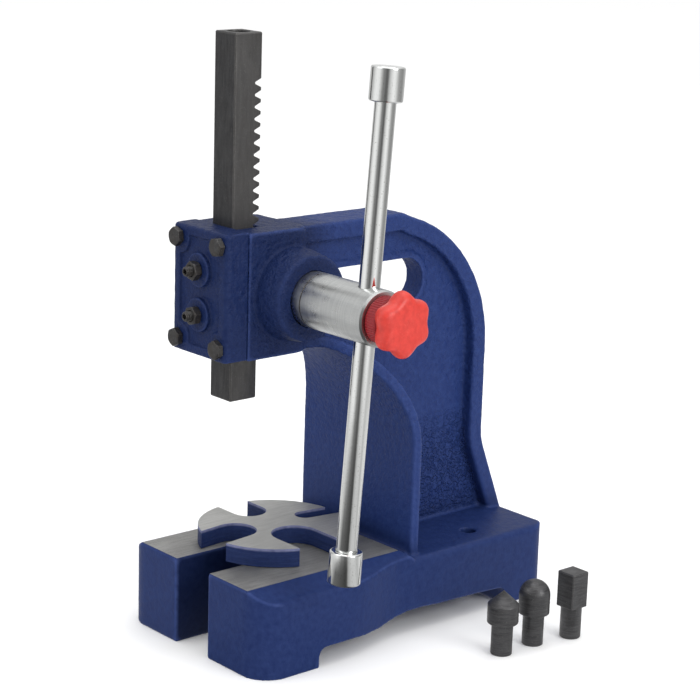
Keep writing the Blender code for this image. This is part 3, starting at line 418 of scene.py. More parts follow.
def paintedCasting(name, bare=None, rough=None, dark=None, scraped=None, metal=iron, paintedShade=1.0):
    # navy enamel over a sand casting, with painted highlights on corners and low fillets, and
    # painted light and shade by place. The four functions say where the iron is bare, the skin
    # rough, the paint gets painted shade and the edge scraped
    material, tree, shader = newMaterial(name)
    edges = useGroup(tree, castEdges, **paint["edges"])
    skin = useGroup(tree, castSkin, Ripple=rough(tree) if rough else 0.0, **paint["skin"])
    colour = blendColours(tree, skin["Tone"], paint["deep"], paint["lit"])
    # painted light and shade: the colour is darkened towards black on the head and in the slot,
    # less on the column and base
    colour = blendColours(tree, paintedLightTone(tree, dark, paintedShade), black, colour)
    # painted highlights: outer corners and fillets low on the base are painted paler
    corners = multiply(tree, edges["Ridge"], paint["cornerHighlight"])
    fillets = remap(tree, placeAlong(tree, "Z"), *paint["fillets"])
    corners = calculate(tree, "MAXIMUM", corners, multiply(tree, edges["Hollow"], fillets))
    colour = blendColours(tree, corners, colour, paint["highlightAndToolLines"])
    coarse = remap(tree, placeAlong(tree, "Z"), *paint["coarse"])
    height = multiply(tree, skin["Height"], coarse)
    roughness = between(tree, skin["Tone"], *paint["roughness"])
    if scraped:
        cutter = useGroup(tree, toolLines, Stretch=plateEdge["stretch"])
        lines = multiply(tree, cutter["Tone"], plateEdge["lines"])
        colour = blendColours(tree, lines, colour, paint["highlightAndToolLines"])
        share = multiply(tree, scraped(tree), between(tree, skin["Tone"], *plateEdge["tone"]))
        colour = blendColours(tree, share, colour, plateEdge["colour"])
        height = calculate(tree, "ADD", height, cutter["Height"])
    if bare:
        share = bare(tree)
        metalColour, metalRoughness, metalHeight = groundMetal(tree, metal)
        colour = blendColours(tree, share, colour, metalColour)
        roughness = blendValues(tree, share, roughness, metalRoughness)
        height = blendValues(tree, share, height, metalHeight)
        feed(tree, multiply(tree, share, grinding["metallic"]), shader["Metallic"])
    setSurface(tree, shader, colour, roughness, height, paint["relief"])
    shader["Specular IOR Level"].default_value = paint["sheen"]
    return material


oxide = {
    "dark": (0.022, 0.022, 0.024, 1),
    "light": (0.058, 0.058, 0.060, 1),
    "brown": (0.040, 0.032, 0.026, 1),
    # bright: worn edges and specks, and the painted highlight on the +X side
    "bright": (0.24, 0.23, 0.22, 1),
    "breakup": 500.0,
    "waver": 0.4,
    "cloud": {"Patch": 110.0, "Speck": 1400.0},
    "specks": 0.4,
    "sideways": 0.7,
    "shine": (-0.06, 0.10),
    "relief": (0.00006, 0.5),
    "metallic": 0.55,
}


def blackOxide(name, stretch, browning, rounding, shine=0.42, wear=0.55, tone=1.0, sideHighlight=0.0):
    # oiled black oxide with tool lines, cloudy tone and edges worn brighter. The side towards +X
    # can be painted lighter, as a painted highlight
    material, tree, shader = newMaterial(name)
    edges = useGroup(tree, wornEdges, Radius=rounding, Breakup=oxide["breakup"])
    lines = useGroup(tree, toolLines, Stretch=stretch, Waver=oxide["waver"])
    cloud = useGroup(tree, mottle, **oxide["cloud"])
    dark, light = (tuple(min(part * tone, 1) for part in oxide[key]) for key in ("dark", "light"))
    colour = blendColours(tree, lines["Tone"], dark, light)
    if sideHighlight:
        # painted highlight: the side facing +X is painted brighter
        side = multiply(tree, facing(tree, (1, 0, 0), oxide["sideways"]), sideHighlight)
        colour = blendColours(tree, side, colour, oxide["bright"])
    for mask, share, over in (
        (cloud["Patches"], browning, oxide["brown"]),
        (cloud["Specks"], oxide["specks"], oxide["bright"]),
        (edges["Edge"], wear, oxide["bright"]),
    ):
        colour = blendColours(tree, multiply(tree, mask, share), colour, over)
    dull, bright = (shine + change for change in oxide["shine"])
    roughness = between(tree, cloud["Patches"], dull, bright)
    height = calculate(tree, "ADD", lines["Height"], cloud["Patches"])
    setSurface(tree, shader, colour, roughness, height, oxide["relief"], edges["Normal"])
    shader["Metallic"].default_value = oxide["metallic"]
    return material


steel = {
    "dark": (0.42, 0.43, 0.43, 1),
    "light": (0.66, 0.67, 0.66, 1),
    "grime": (0.13, 0.105, 0.08, 1),
    "breakup": 400.0,
    "waver": 0.1,
    "streakAlong": 14.0,
    "streakAcross": 900.0,
    "streaks": 0.4,
    "cloud": {"Patch": 120.0, "Speck": 900.0},
    "specks": 0.12,
    "ringFade": 0.0002,
    "grooveDarkness": 0.7,
    "roughness": (0.26, 0.36),
    "relief": (0.00004, 0.35),
}


def turnedSteel(name, stretch, ring=None, rounding=0.0005):
    # bright turned steel with fine rings, streaks along the bar and, between two places, a darker
    # band over the ring's groove
    material, tree, shader = newMaterial(name)
    edges = useGroup(tree, wornEdges, Radius=rounding, Breakup=steel["breakup"])
    rings = useGroup(tree, toolLines, Stretch=stretch, Waver=steel["waver"])
    along, across = steel["streakAlong"], steel["streakAcross"]
    drawn = tuple(along if side == max(stretch) else across for side in stretch)
    streaks = useGroup(tree, toolLines, Stretch=drawn)
    cloud = useGroup(tree, mottle, **steel["cloud"])
    colour = blendColours(tree, rings["Tone"], steel["dark"], steel["light"])
    streaked = multiply(tree, streaks["Tone"], steel["streaks"])
    colour = blendColours(tree, streaked, colour, steel["light"])
    dirt = multiply(tree, cloud["Specks"], steel["specks"])
    if ring:
        # between the two places the groove is darkened towards the grime colour
        grooveDarkening = multiply(tree, band(tree, "X", *ring, steel["ringFade"]), steel["grooveDarkness"])
        dirt = calculate(tree, "MAXIMUM", dirt, grooveDarkening)
    colour = blendColours(tree, dirt, colour, steel["grime"])
    roughness = between(tree, cloud["Patches"], *steel["roughness"])
    height, normal = rings["Height"], edges["Normal"]
    setSurface(tree, shader, colour, roughness, height, steel["relief"], normal)
    shader["Metallic"].default_value = 1.0
    return material


chrome = {
    "clear": (0.80, 0.81, 0.80, 1),
    "dull": (0.42, 0.41, 0.38, 1),
    "stretch": (700.0, 700.0, 9.0),
    "cloud": {"Patch": 90.0, "Speck": 1100.0},
    "specks": 0.7,
    "roughness": (0.03, 0.10),
    "rimBlend": 0.5,
    "rim": (0.55, 0.92, 0.0, 0.35),
    "relief": (0.00005, 0.35),
}


def chromePlate(name):
    # polished plate with drawn lines, faint haze and pin holes
    material, tree, shader = newMaterial(name)
    drawn = useGroup(tree, toolLines, Stretch=chrome["stretch"])
    cloud = useGroup(tree, mottle, **chrome["cloud"])
    pins = multiply(tree, cloud["Specks"], chrome["specks"])
    colour = blendColours(tree, pins, chrome["clear"], chrome["dull"])
    shine = multiply(tree, cloud["Patches"], drawn["Tone"])
    # the edges of a round bar mirror less sharply
    turned = addNode(tree, "ShaderNodeLayerWeight", {"Blend": chrome["rimBlend"]})
    rim = remap(tree, turned.outputs["Facing"], *chrome["rim"])
    roughness = calculate(tree, "ADD", between(tree, shine, *chrome["roughness"]), rim)
    height = calculate(tree, "ADD", drawn["Height"], cloud["Patches"])
    setSurface(tree, shader, colour, roughness, height, chrome["relief"])
    shader["Metallic"].default_value = 1.0
    return material


plastic = {
    "deep": (0.48, 0.0225, 0.0142, 1),
    "lit": (0.60, 0.036, 0.0237, 1),
    "scuff": (0.72, 0.15, 0.10, 1),
    # the skirt's colour: the red painted darker, as painted shade
    "skirt": (0.27, 0.006, 0.012, 1),
    "seam": shaftPlace.x + 0.1514,
    "seamFade": 0.001,
    "edges": {"Radius": 0.0009, "Breakup": 260.0},
    "spark": {"Grain": 1500.0, "Lumps": 220.0},
    "cloud": {"Patch": 70.0, "Speck": 1000.0},
    "scuffs": 0.35,
    "roughness": (0.34, 0.46),
    "relief": (0.00012, 0.35),
    "glow": 0.08,
    "glowDepth": 0.003,
}


def redPlastic(name):
    # moulded red plastic with a fine spark texture, paler scuffed edges and a skirt painted
    # darker, as painted shade
    material, tree, shader = newMaterial(name)
    edges = useGroup(tree, wornEdges, **plastic["edges"])
    spark = useGroup(tree, castSkin, **plastic["spark"])
    cloud = useGroup(tree, mottle, **plastic["cloud"])
    colour = blendColours(tree, spark["Tone"], plastic["deep"], plastic["lit"])
    scuffs = calculate(tree, "MAXIMUM", edges["Edge"], cloud["Specks"])
    scuffs = multiply(tree, scuffs, plastic["scuffs"])
    colour = blendColours(tree, scuffs, colour, plastic["scuff"])
    # painted shade: behind the seam the skirt is painted darker
    seam, fade = plastic["seam"], plastic["seamFade"]
    head = remap(tree, placeAlong(tree, "X"), seam - fade, seam + fade)
    colour = blendColours(tree, head, plastic["skirt"], colour)
    roughness = between(tree, cloud["Patches"], *plastic["roughness"])
    height, normal = spark["Height"], edges["Normal"]
    setSurface(tree, shader, colour, roughness, height, plastic["relief"], normal)
    shader["Subsurface Weight"].default_value = plastic["glow"]
    shader["Subsurface Scale"].default_value = plastic["glowDepth"]
    return material


framePaint = paintedCasting("frame paint", bare=groundPad, rough=roughWeb, dark=slotShadow)
coverPaint = paintedCasting("cover paint")
# the plate's paint is painted darker all over, as painted shade
platePaint = paintedCasting(
    "plate paint", bare=groundPlate, scraped=scrapedRim, metal=plateIron, paintedShade=0.74
)
ramOxide = blackOxide(
    "ram oxide", (300.0, 300.0, 45.0), 0.1, 0.0014, wear=0.5, tone=0.86, sideHighlight=0.20
)
boltOxide = blackOxide("bolt oxide", (500.0, 60.0, 500.0), 0.6, 0.0005, shine=0.38)
tipOxide = blackOxide(
    "tip oxide", (70.0, 70.0, 800.0), 0.1, 0.0008, shine=0.38, wear=0.6, tone=1.55
)
shaftRing = (shaftPlace.x + 0.0688, shaftPlace.x + 0.0700)
shaftSteel = turnedSteel("shaft steel", (2400.0, 25.0, 25.0), shaftRing, rounding=0.0002)
plainSteel = turnedSteel("plain steel", (60.0, 60.0, 1800.0))
leverChrome = chromePlate("lever chrome")
knobPlastic = redPlastic("knob plastic")
print("materials made")


# Mesh making

merging = {"distance": 0.000002, "flat": math.radians(0.2)}
creases = {"plain": math.radians(32), "cast": math.radians(70)}


def newObject(name, data):
    obj = bpy.data.objects.new(name, data)
    bpy.context.scene.collection.objects.link(obj)
    return obj


def newPiece(name, mesh, material, body, stands=(), crease="plain"):
    obj = newObject(name, mesh)
    mesh.materials.clear()
    mesh.materials.append(material)
    mesh.shade_smooth()
    mesh.set_sharp_from_angle(angle=creases[crease])
    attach(obj, body)
    if stands:
        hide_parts(*stands)


def surfaceOfRings(name, rings, matrix=Matrix.Identity(4), closed=False):
    # faces between rings of equal count. A ring of one point is a pole
    graph = bmesh.new()
    rows = [[graph.verts.new(matrix @ Vector(point)) for point in ring] for ring in rings]
    for row, following in zip(rows, rows[1:] + rows[:1] if closed else rows[1:]):
        for i in range(max(len(row), len(following))):
            j = i + 1
            corners = [
                row[i % len(row)],
                row[j % len(row)],
                following[j % len(following)],
                following[i % len(following)],
            ]
            graph.faces.new(list(dict.fromkeys(corners)))
    bmesh.ops.recalc_face_normals(graph, faces=graph.faces)
    mesh = bpy.data.meshes.new(name)
    graph.to_mesh(mesh)
    graph.free()
    return mesh


def mergedMesh(node, added=None, dissolved=False):
    # a copy of a CAD node with its doubled points merged. Another mesh can be added to it, and
    # the edges inside its flat faces can be dissolved
    mesh = nodes[node].data.copy()
    graph = bmesh.new()
    graph.from_mesh(mesh)
    bmesh.ops.remove_doubles(graph, verts=graph.verts, dist=merging["distance"])
    if dissolved:
        flat, verts, edges = merging["flat"], graph.verts, graph.edges
        bmesh.ops.dissolve_limit(graph, angle_limit=flat, verts=verts, edges=edges)
    if added:
        graph.from_mesh(added)
    graph.to_mesh(mesh)
    graph.free()
    return mesh


def evaluatedMesh(name, mesh, kind, sockets=None, **settings):
    # the mesh after one modifier. Sockets are the inputs of its node group
    helper = newObject(name, mesh)
    modifier = helper.modifiers.new(kind, kind)
    for setting, value in settings.items():
        setattr(modifier, setting, value)
    for socket, value in (sockets or {}).items():
        modifier[socket] = value
    bpy.context.view_layer.update()
    evaluated = helper.evaluated_get(bpy.context.evaluated_depsgraph_get())
    made = bpy.data.meshes.new_from_object(evaluated)
    bpy.data.objects.remove(helper)
    return made


def along(direction, place, turn=0.0):
    # lays a shape's own Z along a direction, after turning it about Z
    tilt = Vector((0, 0, 1)).rotation_difference(Vector(direction)).to_matrix().to_4x4()
    return Matrix.Translation(place) @ tilt @ Matrix.Rotation(turn, 4, "Z")


def ringOf(steps, shape):
    # shape gives the radius and the height at each turn
    ring = []
    for i in range(steps):
        turn = math.tau * i / steps
        radius, height = shape(turn)
        ring.append((radius * math.cos(turn), radius * math.sin(turn), height))
    return ring


def circle(radius, height, steps):
    return ringOf(steps, lambda turn: (radius, height)) if radius else [(0, 0, height)]


def roundedProfile(corners):
    # (radius, height, rounding) corners of a turned shape, each rounded by an arc where it asks
    steps = 5
    points = []
    for i, (radius, height, rounding) in enumerate(corners):
        corner = Vector((radius, height))
        if not rounding:
            points.append(corner)
            continue
        before = (Vector(corners[i - 1][:2]) - corner).normalized()
        after = (Vector(corners[i + 1][:2]) - corner).normalized()
        half = before.angle(after) / 2
        centre = corner + (before + after).normalized() * rounding / math.sin(half)
        first = (corner + before * rounding / math.tan(half) - centre).normalized()
        last = (corner + after * rounding / math.tan(half) - centre).normalized()
        points += [centre + first.slerp(last, j / steps) * rounding for j in range(steps + 1)]
    return points


def turnedMesh(name, corners, matrix):
    steps = 96
    return surfaceOfRings(name, [circle(r, z, steps) for r, z in roundedProfile(corners)], matrix)


def hexRadius(acrossFlats, turn):
    sixth = math.radians(60)
    return acrossFlats / 2 / math.cos((turn + sixth / 2) % sixth - sixth / 2)


def hexRing(acrossFlats, height, steps, faceRadius=None):
    # a ring on a hexagon's sides, lower towards its corners by the usual 30 degree chamfer
    def shape(turn):
        radius = hexRadius(acrossFlats, turn)
        drop = (radius - faceRadius) * math.tan(math.radians(30)) if faceRadius else 0
        return radius, height - drop

    return ringOf(steps, shape)


def castStart(low, high):
    # the middle of the end that a screw or nut turns towards the casting
    return Vector(((low.x + high.x) / 2, high.y, (low.z + high.z) / 2))


# Castings

casting = {
    "frame": {"voxel": 0.00125, "passes": 14, "triangles": 190000, "lump": 0.00020},
    "cover": {"voxel": 0.0008, "passes": 16, "triangles": 70000, "lump": 0.00014},
    "pull": 0.6,
    "push": 0.63,
    "bendPasses": 9,
    "bendUnits": 1000,
    "shallow": 0.0006,
    "boreWall": 0.0007,
}
# the sizes of coarse and fine lumps, the fine ones' part, and the height of both at two heights
lumpForm = {
    "coarse": 0.007,
    "fine": 0.0026,
    "finePart": 0.45,
    "at": (0.075, 0.20),
    "height": (0.35, 1.15),
}


def readPoints(mesh):
    points = np.empty(len(mesh.vertices) * 3)
    mesh.vertices.foreach_get("co", points)
    return points.reshape(-1, 3)


def softened(points, edges, free, passes, push):
    # pulls each point towards the middle of its neighbours, which rounds corners, and pushes it
    # back a little more after each pull, so that large shapes keep their size
    first, second = edges[:, 0], edges[:, 1]
    count = len(points)
    neighbours = np.bincount(edges.ravel(), minlength=count)
    shares = (casting["pull"] * free / neighbours, -push * free / neighbours)
    for step in range(2 * passes if push else passes):
        pull = np.empty_like(points)
        for axis in range(3):
            column = points[:, axis]
            total = np.bincount(first, column[second], count)
            total += np.bincount(second, column[first], count)
            pull[:, axis] = (total - column * neighbours) * shares[step % 2 if push else 0]
        points = points + pull
    return points


# how much higher the base's underside arches between its feet, at places back from the ram. The
# lift is whole below one height and fades out at another
underside = {
    "back": (0.024, 0.055, 0.070, 0.090, 0.100, 0.122, 0.140, 0.155, 0.200, 0.228),
    "lift": (0, 0, -0.0012, -0.0014, 0.0005, 0.0038, 0.0038, 0.0026, 0.0015, 0),
    "whole": 0.016,
    "none": 0.048,
}


def arched(points):
    lift = np.interp(points[:, 1] - ramY, underside["back"], underside["lift"])
    share = (underside["none"] - points[:, 2]) / (underside["none"] - underside["whole"])
    points[:, 2] += lift * np.clip(share, 0, 1)
    return points


def lumpHeights(points, free):
    heights = np.zeros(len(points))
    for i in np.flatnonzero(free > 0):
        place = Vector(points[i])
        heights[i] = noise.noise(place / lumpForm["coarse"])
        heights[i] += lumpForm["finePart"] * noise.noise(place / lumpForm["fine"])
    # the base is the smoothest part of the casting
    return heights * free * np.interp(points[:, 2], lumpForm["at"], lumpForm["height"])


# a wall round the back of the shaft's bore, where the bore comes nearest to the head's rear
rearWall = {
    "left": -0.026,
    "right": 0.034,
    "inner": 0.0197,
    "outer": 0.0236,
    "reach": math.radians(75),
    "steps": 20,
}


def makeRearWall():
    rings = []
    sides = (("left", "inner"), ("right", "inner"), ("right", "outer"), ("left", "outer"))
    for i in range(rearWall["steps"] + 1):
        turn = rearWall["reach"] * (2 * i / rearWall["steps"] - 1)
        ring = []
        for side, radius in sides:
            y, z = rearWall[radius] * math.cos(turn), rearWall[radius] * math.sin(turn)
            ring.append((ramX + rearWall[side], shaftPlace.y + y, shaftPlace.z + z))
        rings.append(ring)
    ends = [[tuple(np.mean(ring, 0))] for ring in (rings[0], rings[-1])]
    return surfaceOfRings("rearWall", [ends[0], *rings, ends[1]])


def castForm(node, name, material, kind, held):
    # the CAD solid with a sand casting's soft corners, fillets and lumps. held says what is
    # machined and keeps its place
    sizes = casting[kind]
    mesh = mergedMesh(node, makeRearWall() if kind == "frame" else None)
    low, high = (np.array(corner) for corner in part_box(node))
    dense = evaluatedMesh(name, mesh, "REMESH", mode="VOXEL", voxel_size=sizes["voxel"])
    points = readPoints(dense)
    edges = np.empty(len(dense.edges) * 2, np.int64)
    dense.edges.foreach_get("vertices", edges)
    free = 1.0 - held(points)
    edges = edges.reshape(-1, 2)
    points = softened(points, edges, free, sizes["passes"], casting["push"])
    if kind == "frame":
        points = arched(points)
    dense.vertices.foreach_set("co", points.ravel())
    dense.update()
    normals = np.empty(len(points) * 3)
    dense.vertices.foreach_get("normal", normals)
    normals = normals.reshape(-1, 3)
    blunt = softened(points, edges, np.ones(len(points)), casting["bendPasses"], 0)
    sharpness = ((points - blunt) * normals).sum(1) * free * casting["bendUnits"]
    dense.attributes.new("bend", "FLOAT", "POINT").data.foreach_set("value", sharpness)
    points += normals * (lumpHeights(points, free) * sizes["lump"])[:, None]
    dense.vertices.foreach_set("co", np.clip(points, low, high).ravel())
    dense.update()
    share = sizes["triangles"] / (2 * len(dense.polygons))
    light = evaluatedMesh(name, dense, "DECIMATE", ratio=share) if share < 1 else dense
    light.vertices.foreach_set("co", np.clip(readPoints(light), low, high).ravel())
    newPiece(name, light, material, "frame", (node,), "cast")


# machined places, measured from the ram's axis, and from the back of the cover
benchHole = {"x": 0.0508, "y": 0.2122, "radius": 0.0085}
headHollow = {"side": 0.0325, "front": -0.0115, "rear": 0.044, "inset": 0.002}
coverPocket = {"side": 0.014, "depth": 0.014, "inset": 0.002}


def machinedFrame(points):
    # the pad, the shaft's bore, the bench holes and the head's inner walls
    x, y, z = (points - np.array((ramX, ramY, 0))).T
    fromShaft = np.hypot(y + ramY - shaftPlace.y, z - shaftPlace.z)
    top = (abs(z - pad["top"]) < casting["shallow"]) & (y < pad["rear"] - ramY)
    bore = fromShaft < shaftRadius + casting["boreWall"]
    inside = (abs(x) < headHollow["side"]) & (y > headHollow["front"]) & (y < headHollow["rear"])
    inside &= (z > coverLow.z) & (z < coverHigh.z - headHollow["inset"])
    fromHole = np.hypot(abs(x) - benchHole["x"], y - benchHole["y"])
    bench = fromHole < benchHole["radius"] + casting["boreWall"]
    return (top | bore | inside | bench).astype(float)


def machinedCover(points):
    x, y, z = (points - np.array((ramX, coverHigh.y, 0))).T
    inset = coverPocket["inset"]
    pocket = (abs(x) < coverPocket["side"]) & (y > -coverPocket["depth"])
    pocket &= (z > coverLow.z + inset) & (z < coverHigh.z - inset)
    return (pocket | (y > -casting["shallow"] / 2)).astype(float)


castForm("frame_casting", "castFrame", framePaint, "frame", machinedFrame)
print("frame cast")
castForm("cover_plate", "frontCover", coverPaint, "cover", machinedCover)
print("cover cast")


# Other pieces whose CAD form is right

def plainCopy(node, name, material, body):
    newPiece(name, mergedMesh(node, dissolved=True), material, body, (node,))


plainCopy("gib_strip", "gibStrip", plainSteel, "frame")
plainCopy("ram", "rackRam", ramOxide, "ram")
plainCopy("tip_set_screw", "tipSetScrew", boltOxide, "ram")
plainCopy("pinion_shaft", "pinionShaft", shaftSteel, "pinion")
plainCopy("clamp_stud", "clampStud", plainSteel, "stud")
plainCopy("arbor_plate", "arborPlate", platePaint, "plate")
print("gib, ram, set screw, shaft, stud and plate made")


# Hex bolts and nuts

bolt = {
    "acrossFlats": 0.013,
    "head": 0.0053,
    "face": 0.0061,
    "crownRadius": 0.00488,
    "crown": 0.000075,
    "dome": 0.00025,
    "washerRadius": 0.00611,
    "washerLift": 0.0004,
    "shank": 0.004,
    "shankTip": 0.0032,
    "shankChamfer": 0.0008,
    "steps": 48,
}
boltTurns = {"top_left": 12, "top_right": 40, "bottom_left": 55, "bottom_right": 4}


def hexBolt(name, node, body, direction, turn):
    # the head's top faces along the direction, and the CAD node's box says where it ends
    low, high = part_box(node)
    direction = Vector(direction)
    reach = abs(direction.dot(high - low)) / 2
    top, length = (low + high) / 2 + direction * reach, 2 * reach
    steps, flats, under = bolt["steps"], bolt["acrossFlats"], bolt["washerLift"] - bolt["head"]
    rings = [
        circle(0, 0, steps),
        circle(bolt["crownRadius"], -bolt["crown"], steps),
        circle(bolt["face"], -bolt["dome"], steps),
        hexRing(flats, -bolt["dome"], steps, bolt["face"]),
        hexRing(flats, under, steps),
        circle(bolt["washerRadius"], under, steps),
        circle(bolt["washerRadius"], -bolt["head"], steps),
        circle(bolt["shank"], -bolt["head"], steps),
        circle(bolt["shank"], bolt["shankChamfer"] - length, steps),
        circle(bolt["shankTip"], -length, steps),
        circle(0, -length, steps),
    ]
    mesh = surfaceOfRings(name, rings, along(direction, top, math.radians(turn)))
    newPiece(name, mesh, boltOxide, body, (node,))


for corner, turn in boltTurns.items():
    hexBolt(f"coverBolt_{corner}", f"cover_bolt_{corner}", "frame", (0, -1, 0), turn)
hexBolt("retainingScrew", "retaining_screw", "pinion", (-1, 0, 0), 20)

washer = {"bore": 0.0043, "radius": 0.018, "edge": 0.0005, "steps": 64}


def makeWasher():
    low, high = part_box("retaining_washer")
    half, steps = (high.x - low.x) / 2, washer["steps"]
    bore, radius, edge = washer["bore"], washer["radius"], washer["edge"]
    corners = [(bore, half, 0), (radius, half, edge), (radius, -half, edge), (bore, -half, 0)]
    rings = [circle(r, z, steps) for r, z in roundedProfile(corners)]
    matrix = along((-1, 0, 0), (low + high) / 2)
    mesh = surfaceOfRings("retainingWasher", rings, matrix, closed=True)
    newPiece("retainingWasher", mesh, plainSteel, "pinion", ("retaining_washer",))


makeWasher()

gibScrew = {
    "radius": 0.004,
    "pitch": 0.0016,
    "rings": 10,
    "steps": 36,
    "depth": 0.0009,
    "chamfer": 0.0011,
    "key": 0.004,
    "keyRim": 0.00248,
    "keyChamfer": 0.00033,
    "keyDepth": 0.0035,
}
jamNut = {"acrossFlats": 0.013, "face": 0.0060, "bore": 0.0042, "chamfer": 0.0006, "steps": 48}


def threadedRadius(height, turn, length):
    # a V thread that winds round the screw and fades into the chamfer at both ends
    phase = (height / gibScrew["pitch"] - turn / math.tau) % 1
    cut = gibScrew["depth"] * (1 - abs(2 * phase - 1))
    inset = min(height, length - height)
    return min(gibScrew["radius"] - cut, gibScrew["radius"] - gibScrew["chamfer"] + inset)


def makeGibScrew(row):
    name, node = f"gibScrew_{row}", f"adjusting_screw_{row}"
    low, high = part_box(node)
    length, steps, key = high.y - low.y, gibScrew["steps"], gibScrew["key"]
    count = int(length / gibScrew["pitch"] * gibScrew["rings"])
    rings = [circle(0, 0, steps)]
    for i in range(count + 1):
        height = length * i / count
        rings.append(ringOf(steps, lambda turn: (threadedRadius(height, turn, length), height)))
    floor = length - gibScrew["keyDepth"]
    rings += [
        circle(gibScrew["keyRim"], length, steps),
        hexRing(key, length - gibScrew["keyChamfer"], steps),
        hexRing(key, floor, steps),
        circle(0, floor - gibScrew["chamfer"], steps),
    ]
    mesh = surfaceOfRings(name, rings, along((0, -1, 0), castStart(low, high)))
    newPiece(name, mesh, boltOxide, "frame", (node,))


def makeJamNut(row, turn):
    name, node = f"jamNut_{row}", f"jam_nut_{row}"
    low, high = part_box(node)
    height, steps = high.y - low.y, jamNut["steps"]
    bore, face, chamfer = jamNut["bore"], jamNut["face"], jamNut["chamfer"]
    upper = hexRing(jamNut["acrossFlats"], height, steps, face)
    lower = [(x, y, height - z) for x, y, z in upper]
    rings = [
        circle(bore, chamfer, steps),
        circle(bore, height - chamfer, steps),
        circle(bore + chamfer, height, steps),
        circle(face, height, steps),
        upper,
        lower,
        circle(face, 0, steps),
        circle(bore + chamfer, 0, steps),
    ]
    matrix = along((0, -1, 0), castStart(low, high), math.radians(turn))
    mesh = surfaceOfRings(name, rings, matrix, closed=True)
    newPiece(name, mesh, boltOxide, "frame", (node,))


for row, turn in (("upper", 18), ("lower", 47)):
    makeGibScrew(row)
    makeJamNut(row, turn)
print("bolts, screws and nuts made")


# Lever

lever = {
    "out": 0.121,
    "radius": 0.008,
    "above": 0.1812,
    "below": 0.2055,
    "barEnd": 0.0058,
    "edge": 0.0009,
}
cap = {
    "radius": 0.0126,
    "length": 0.0255,
    "bore": 0.0083,
    "crown": 0.0055,
    "rim": 0.0016,
    "lip": 0.00045,
}
leverPlace = shaftPlace + Vector((lever["out"], 0, 0))


def makeLever():
    high, low = lever["above"] - lever["barEnd"], lever["barEnd"] - lever["below"]
    radius, edge = lever["radius"], lever["edge"]
    corners = [(0, high, 0), (radius, high, edge), (radius, low, edge), (0, low, 0)]
    mesh = turnedMesh("leverBar", corners, along(leverUp, leverPlace))
    newPiece("leverBar", mesh, leverChrome, "lever", ("lever_bar",))
    length, inner = cap["length"], cap["length"] - cap["crown"]
    corners = [
        (0, length, 0),
        (cap["radius"], length, cap["rim"]),
        (cap["radius"], 0, cap["rim"]),
        (cap["bore"], 0, cap["lip"]),
        (cap["bore"], inner, 0),
        (0, inner, 0),
    ]
    ends = (("top", leverUp, lever["above"]), ("bottom", -leverUp, lever["below"]))
    for end, direction, reach in ends:
        start = leverPlace + direction * (reach - length)
        mesh = turnedMesh(f"leverCap_{end}", corners, along(direction, start))
        newPiece(f"leverCap_{end}", mesh, leverChrome, "lever", (f"lever_cap_{end}",))


makeLever()
print("lever made")


# Clamp knob

knob = {
    "back": shaftPlace.x + 0.1383,
    "skirt": 0.0133,
    "head": 0.0154,
    "skirtRadius": 0.0176,
    "neckRadius": 0.0160,
    "radius": 0.0229,
    "lobes": 6,
    "turn": math.radians(2),
    "lobeHeight": 0.0019,
    "bore": 0.0043,
    "boreDepth": 0.0176,
    "steps": 144,
    "ribs": 56,
    "ribLength": 0.0098,
    "ribHeight": 0.0003,
    "ribWidth": 0.0010,
}
# how far along the skirt it narrows, and the neck begins and ends
skirtShares = (0.8, 0.9, 0.97)
# each ring of the head: how far along it, and the radius and lobe height that it has there
knobHeadShares = (
    (0.00, 0.78, 0.35),
    (0.03, 0.85, 0.75),
    (0.10, 0.92, 1.00),
    (0.22, 0.97, 1.10),
    (0.36, 1.00, 1.15),
    (0.50, 1.01, 1.15),
    (0.62, 1.00, 1.10),
    (0.72, 0.98, 1.05),
    (0.82, 0.945, 0.95),
    (0.90, 0.895, 0.85),
    (0.96, 0.83, 0.70),
    (0.99, 0.75, 0.55),
    (1.00, 0.64, 0.35),
    (0.995, 0.50, 0.12),
    (0.985, 0.32, 0.00),
)
knobFaceMiddle = 0.95


def lobedRing(radius, lobe, height):
    def shape(turn):
        return radius + lobe * math.cos(knob["lobes"] * (turn - knob["turn"])), height

    return ringOf(knob["steps"], shape)


def makeKnob(matrix):
    steps, skirt, rib = knob["steps"], knob["skirt"], knob["ribHeight"]
    narrowing, neckStart, neckEnd = (skirt * share for share in skirtShares)
    rings = [
        circle(0, knob["boreDepth"], steps),
        circle(knob["bore"], knob["boreDepth"], steps),
        circle(knob["bore"], 0, steps),
        circle(knob["skirtRadius"] - rib, 0, steps),
        circle(knob["skirtRadius"], rib, steps),
        circle(knob["skirtRadius"], narrowing, steps),
        circle(knob["neckRadius"], neckStart, steps),
        circle(knob["neckRadius"], neckEnd, steps),
    ]
    for share, radius, lobe in knobHeadShares:
        radius, lobe = knob["radius"] * radius, knob["lobeHeight"] * lobe
        rings.append(lobedRing(radius, lobe, skirt + knob["head"] * share))
    rings.append(circle(0, skirt + knob["head"] * knobFaceMiddle, steps))
    mesh = surfaceOfRings("clampKnob", rings, matrix)
    newPiece("clampKnob", mesh, knobPlastic, "knob", ("clamp_knob",))


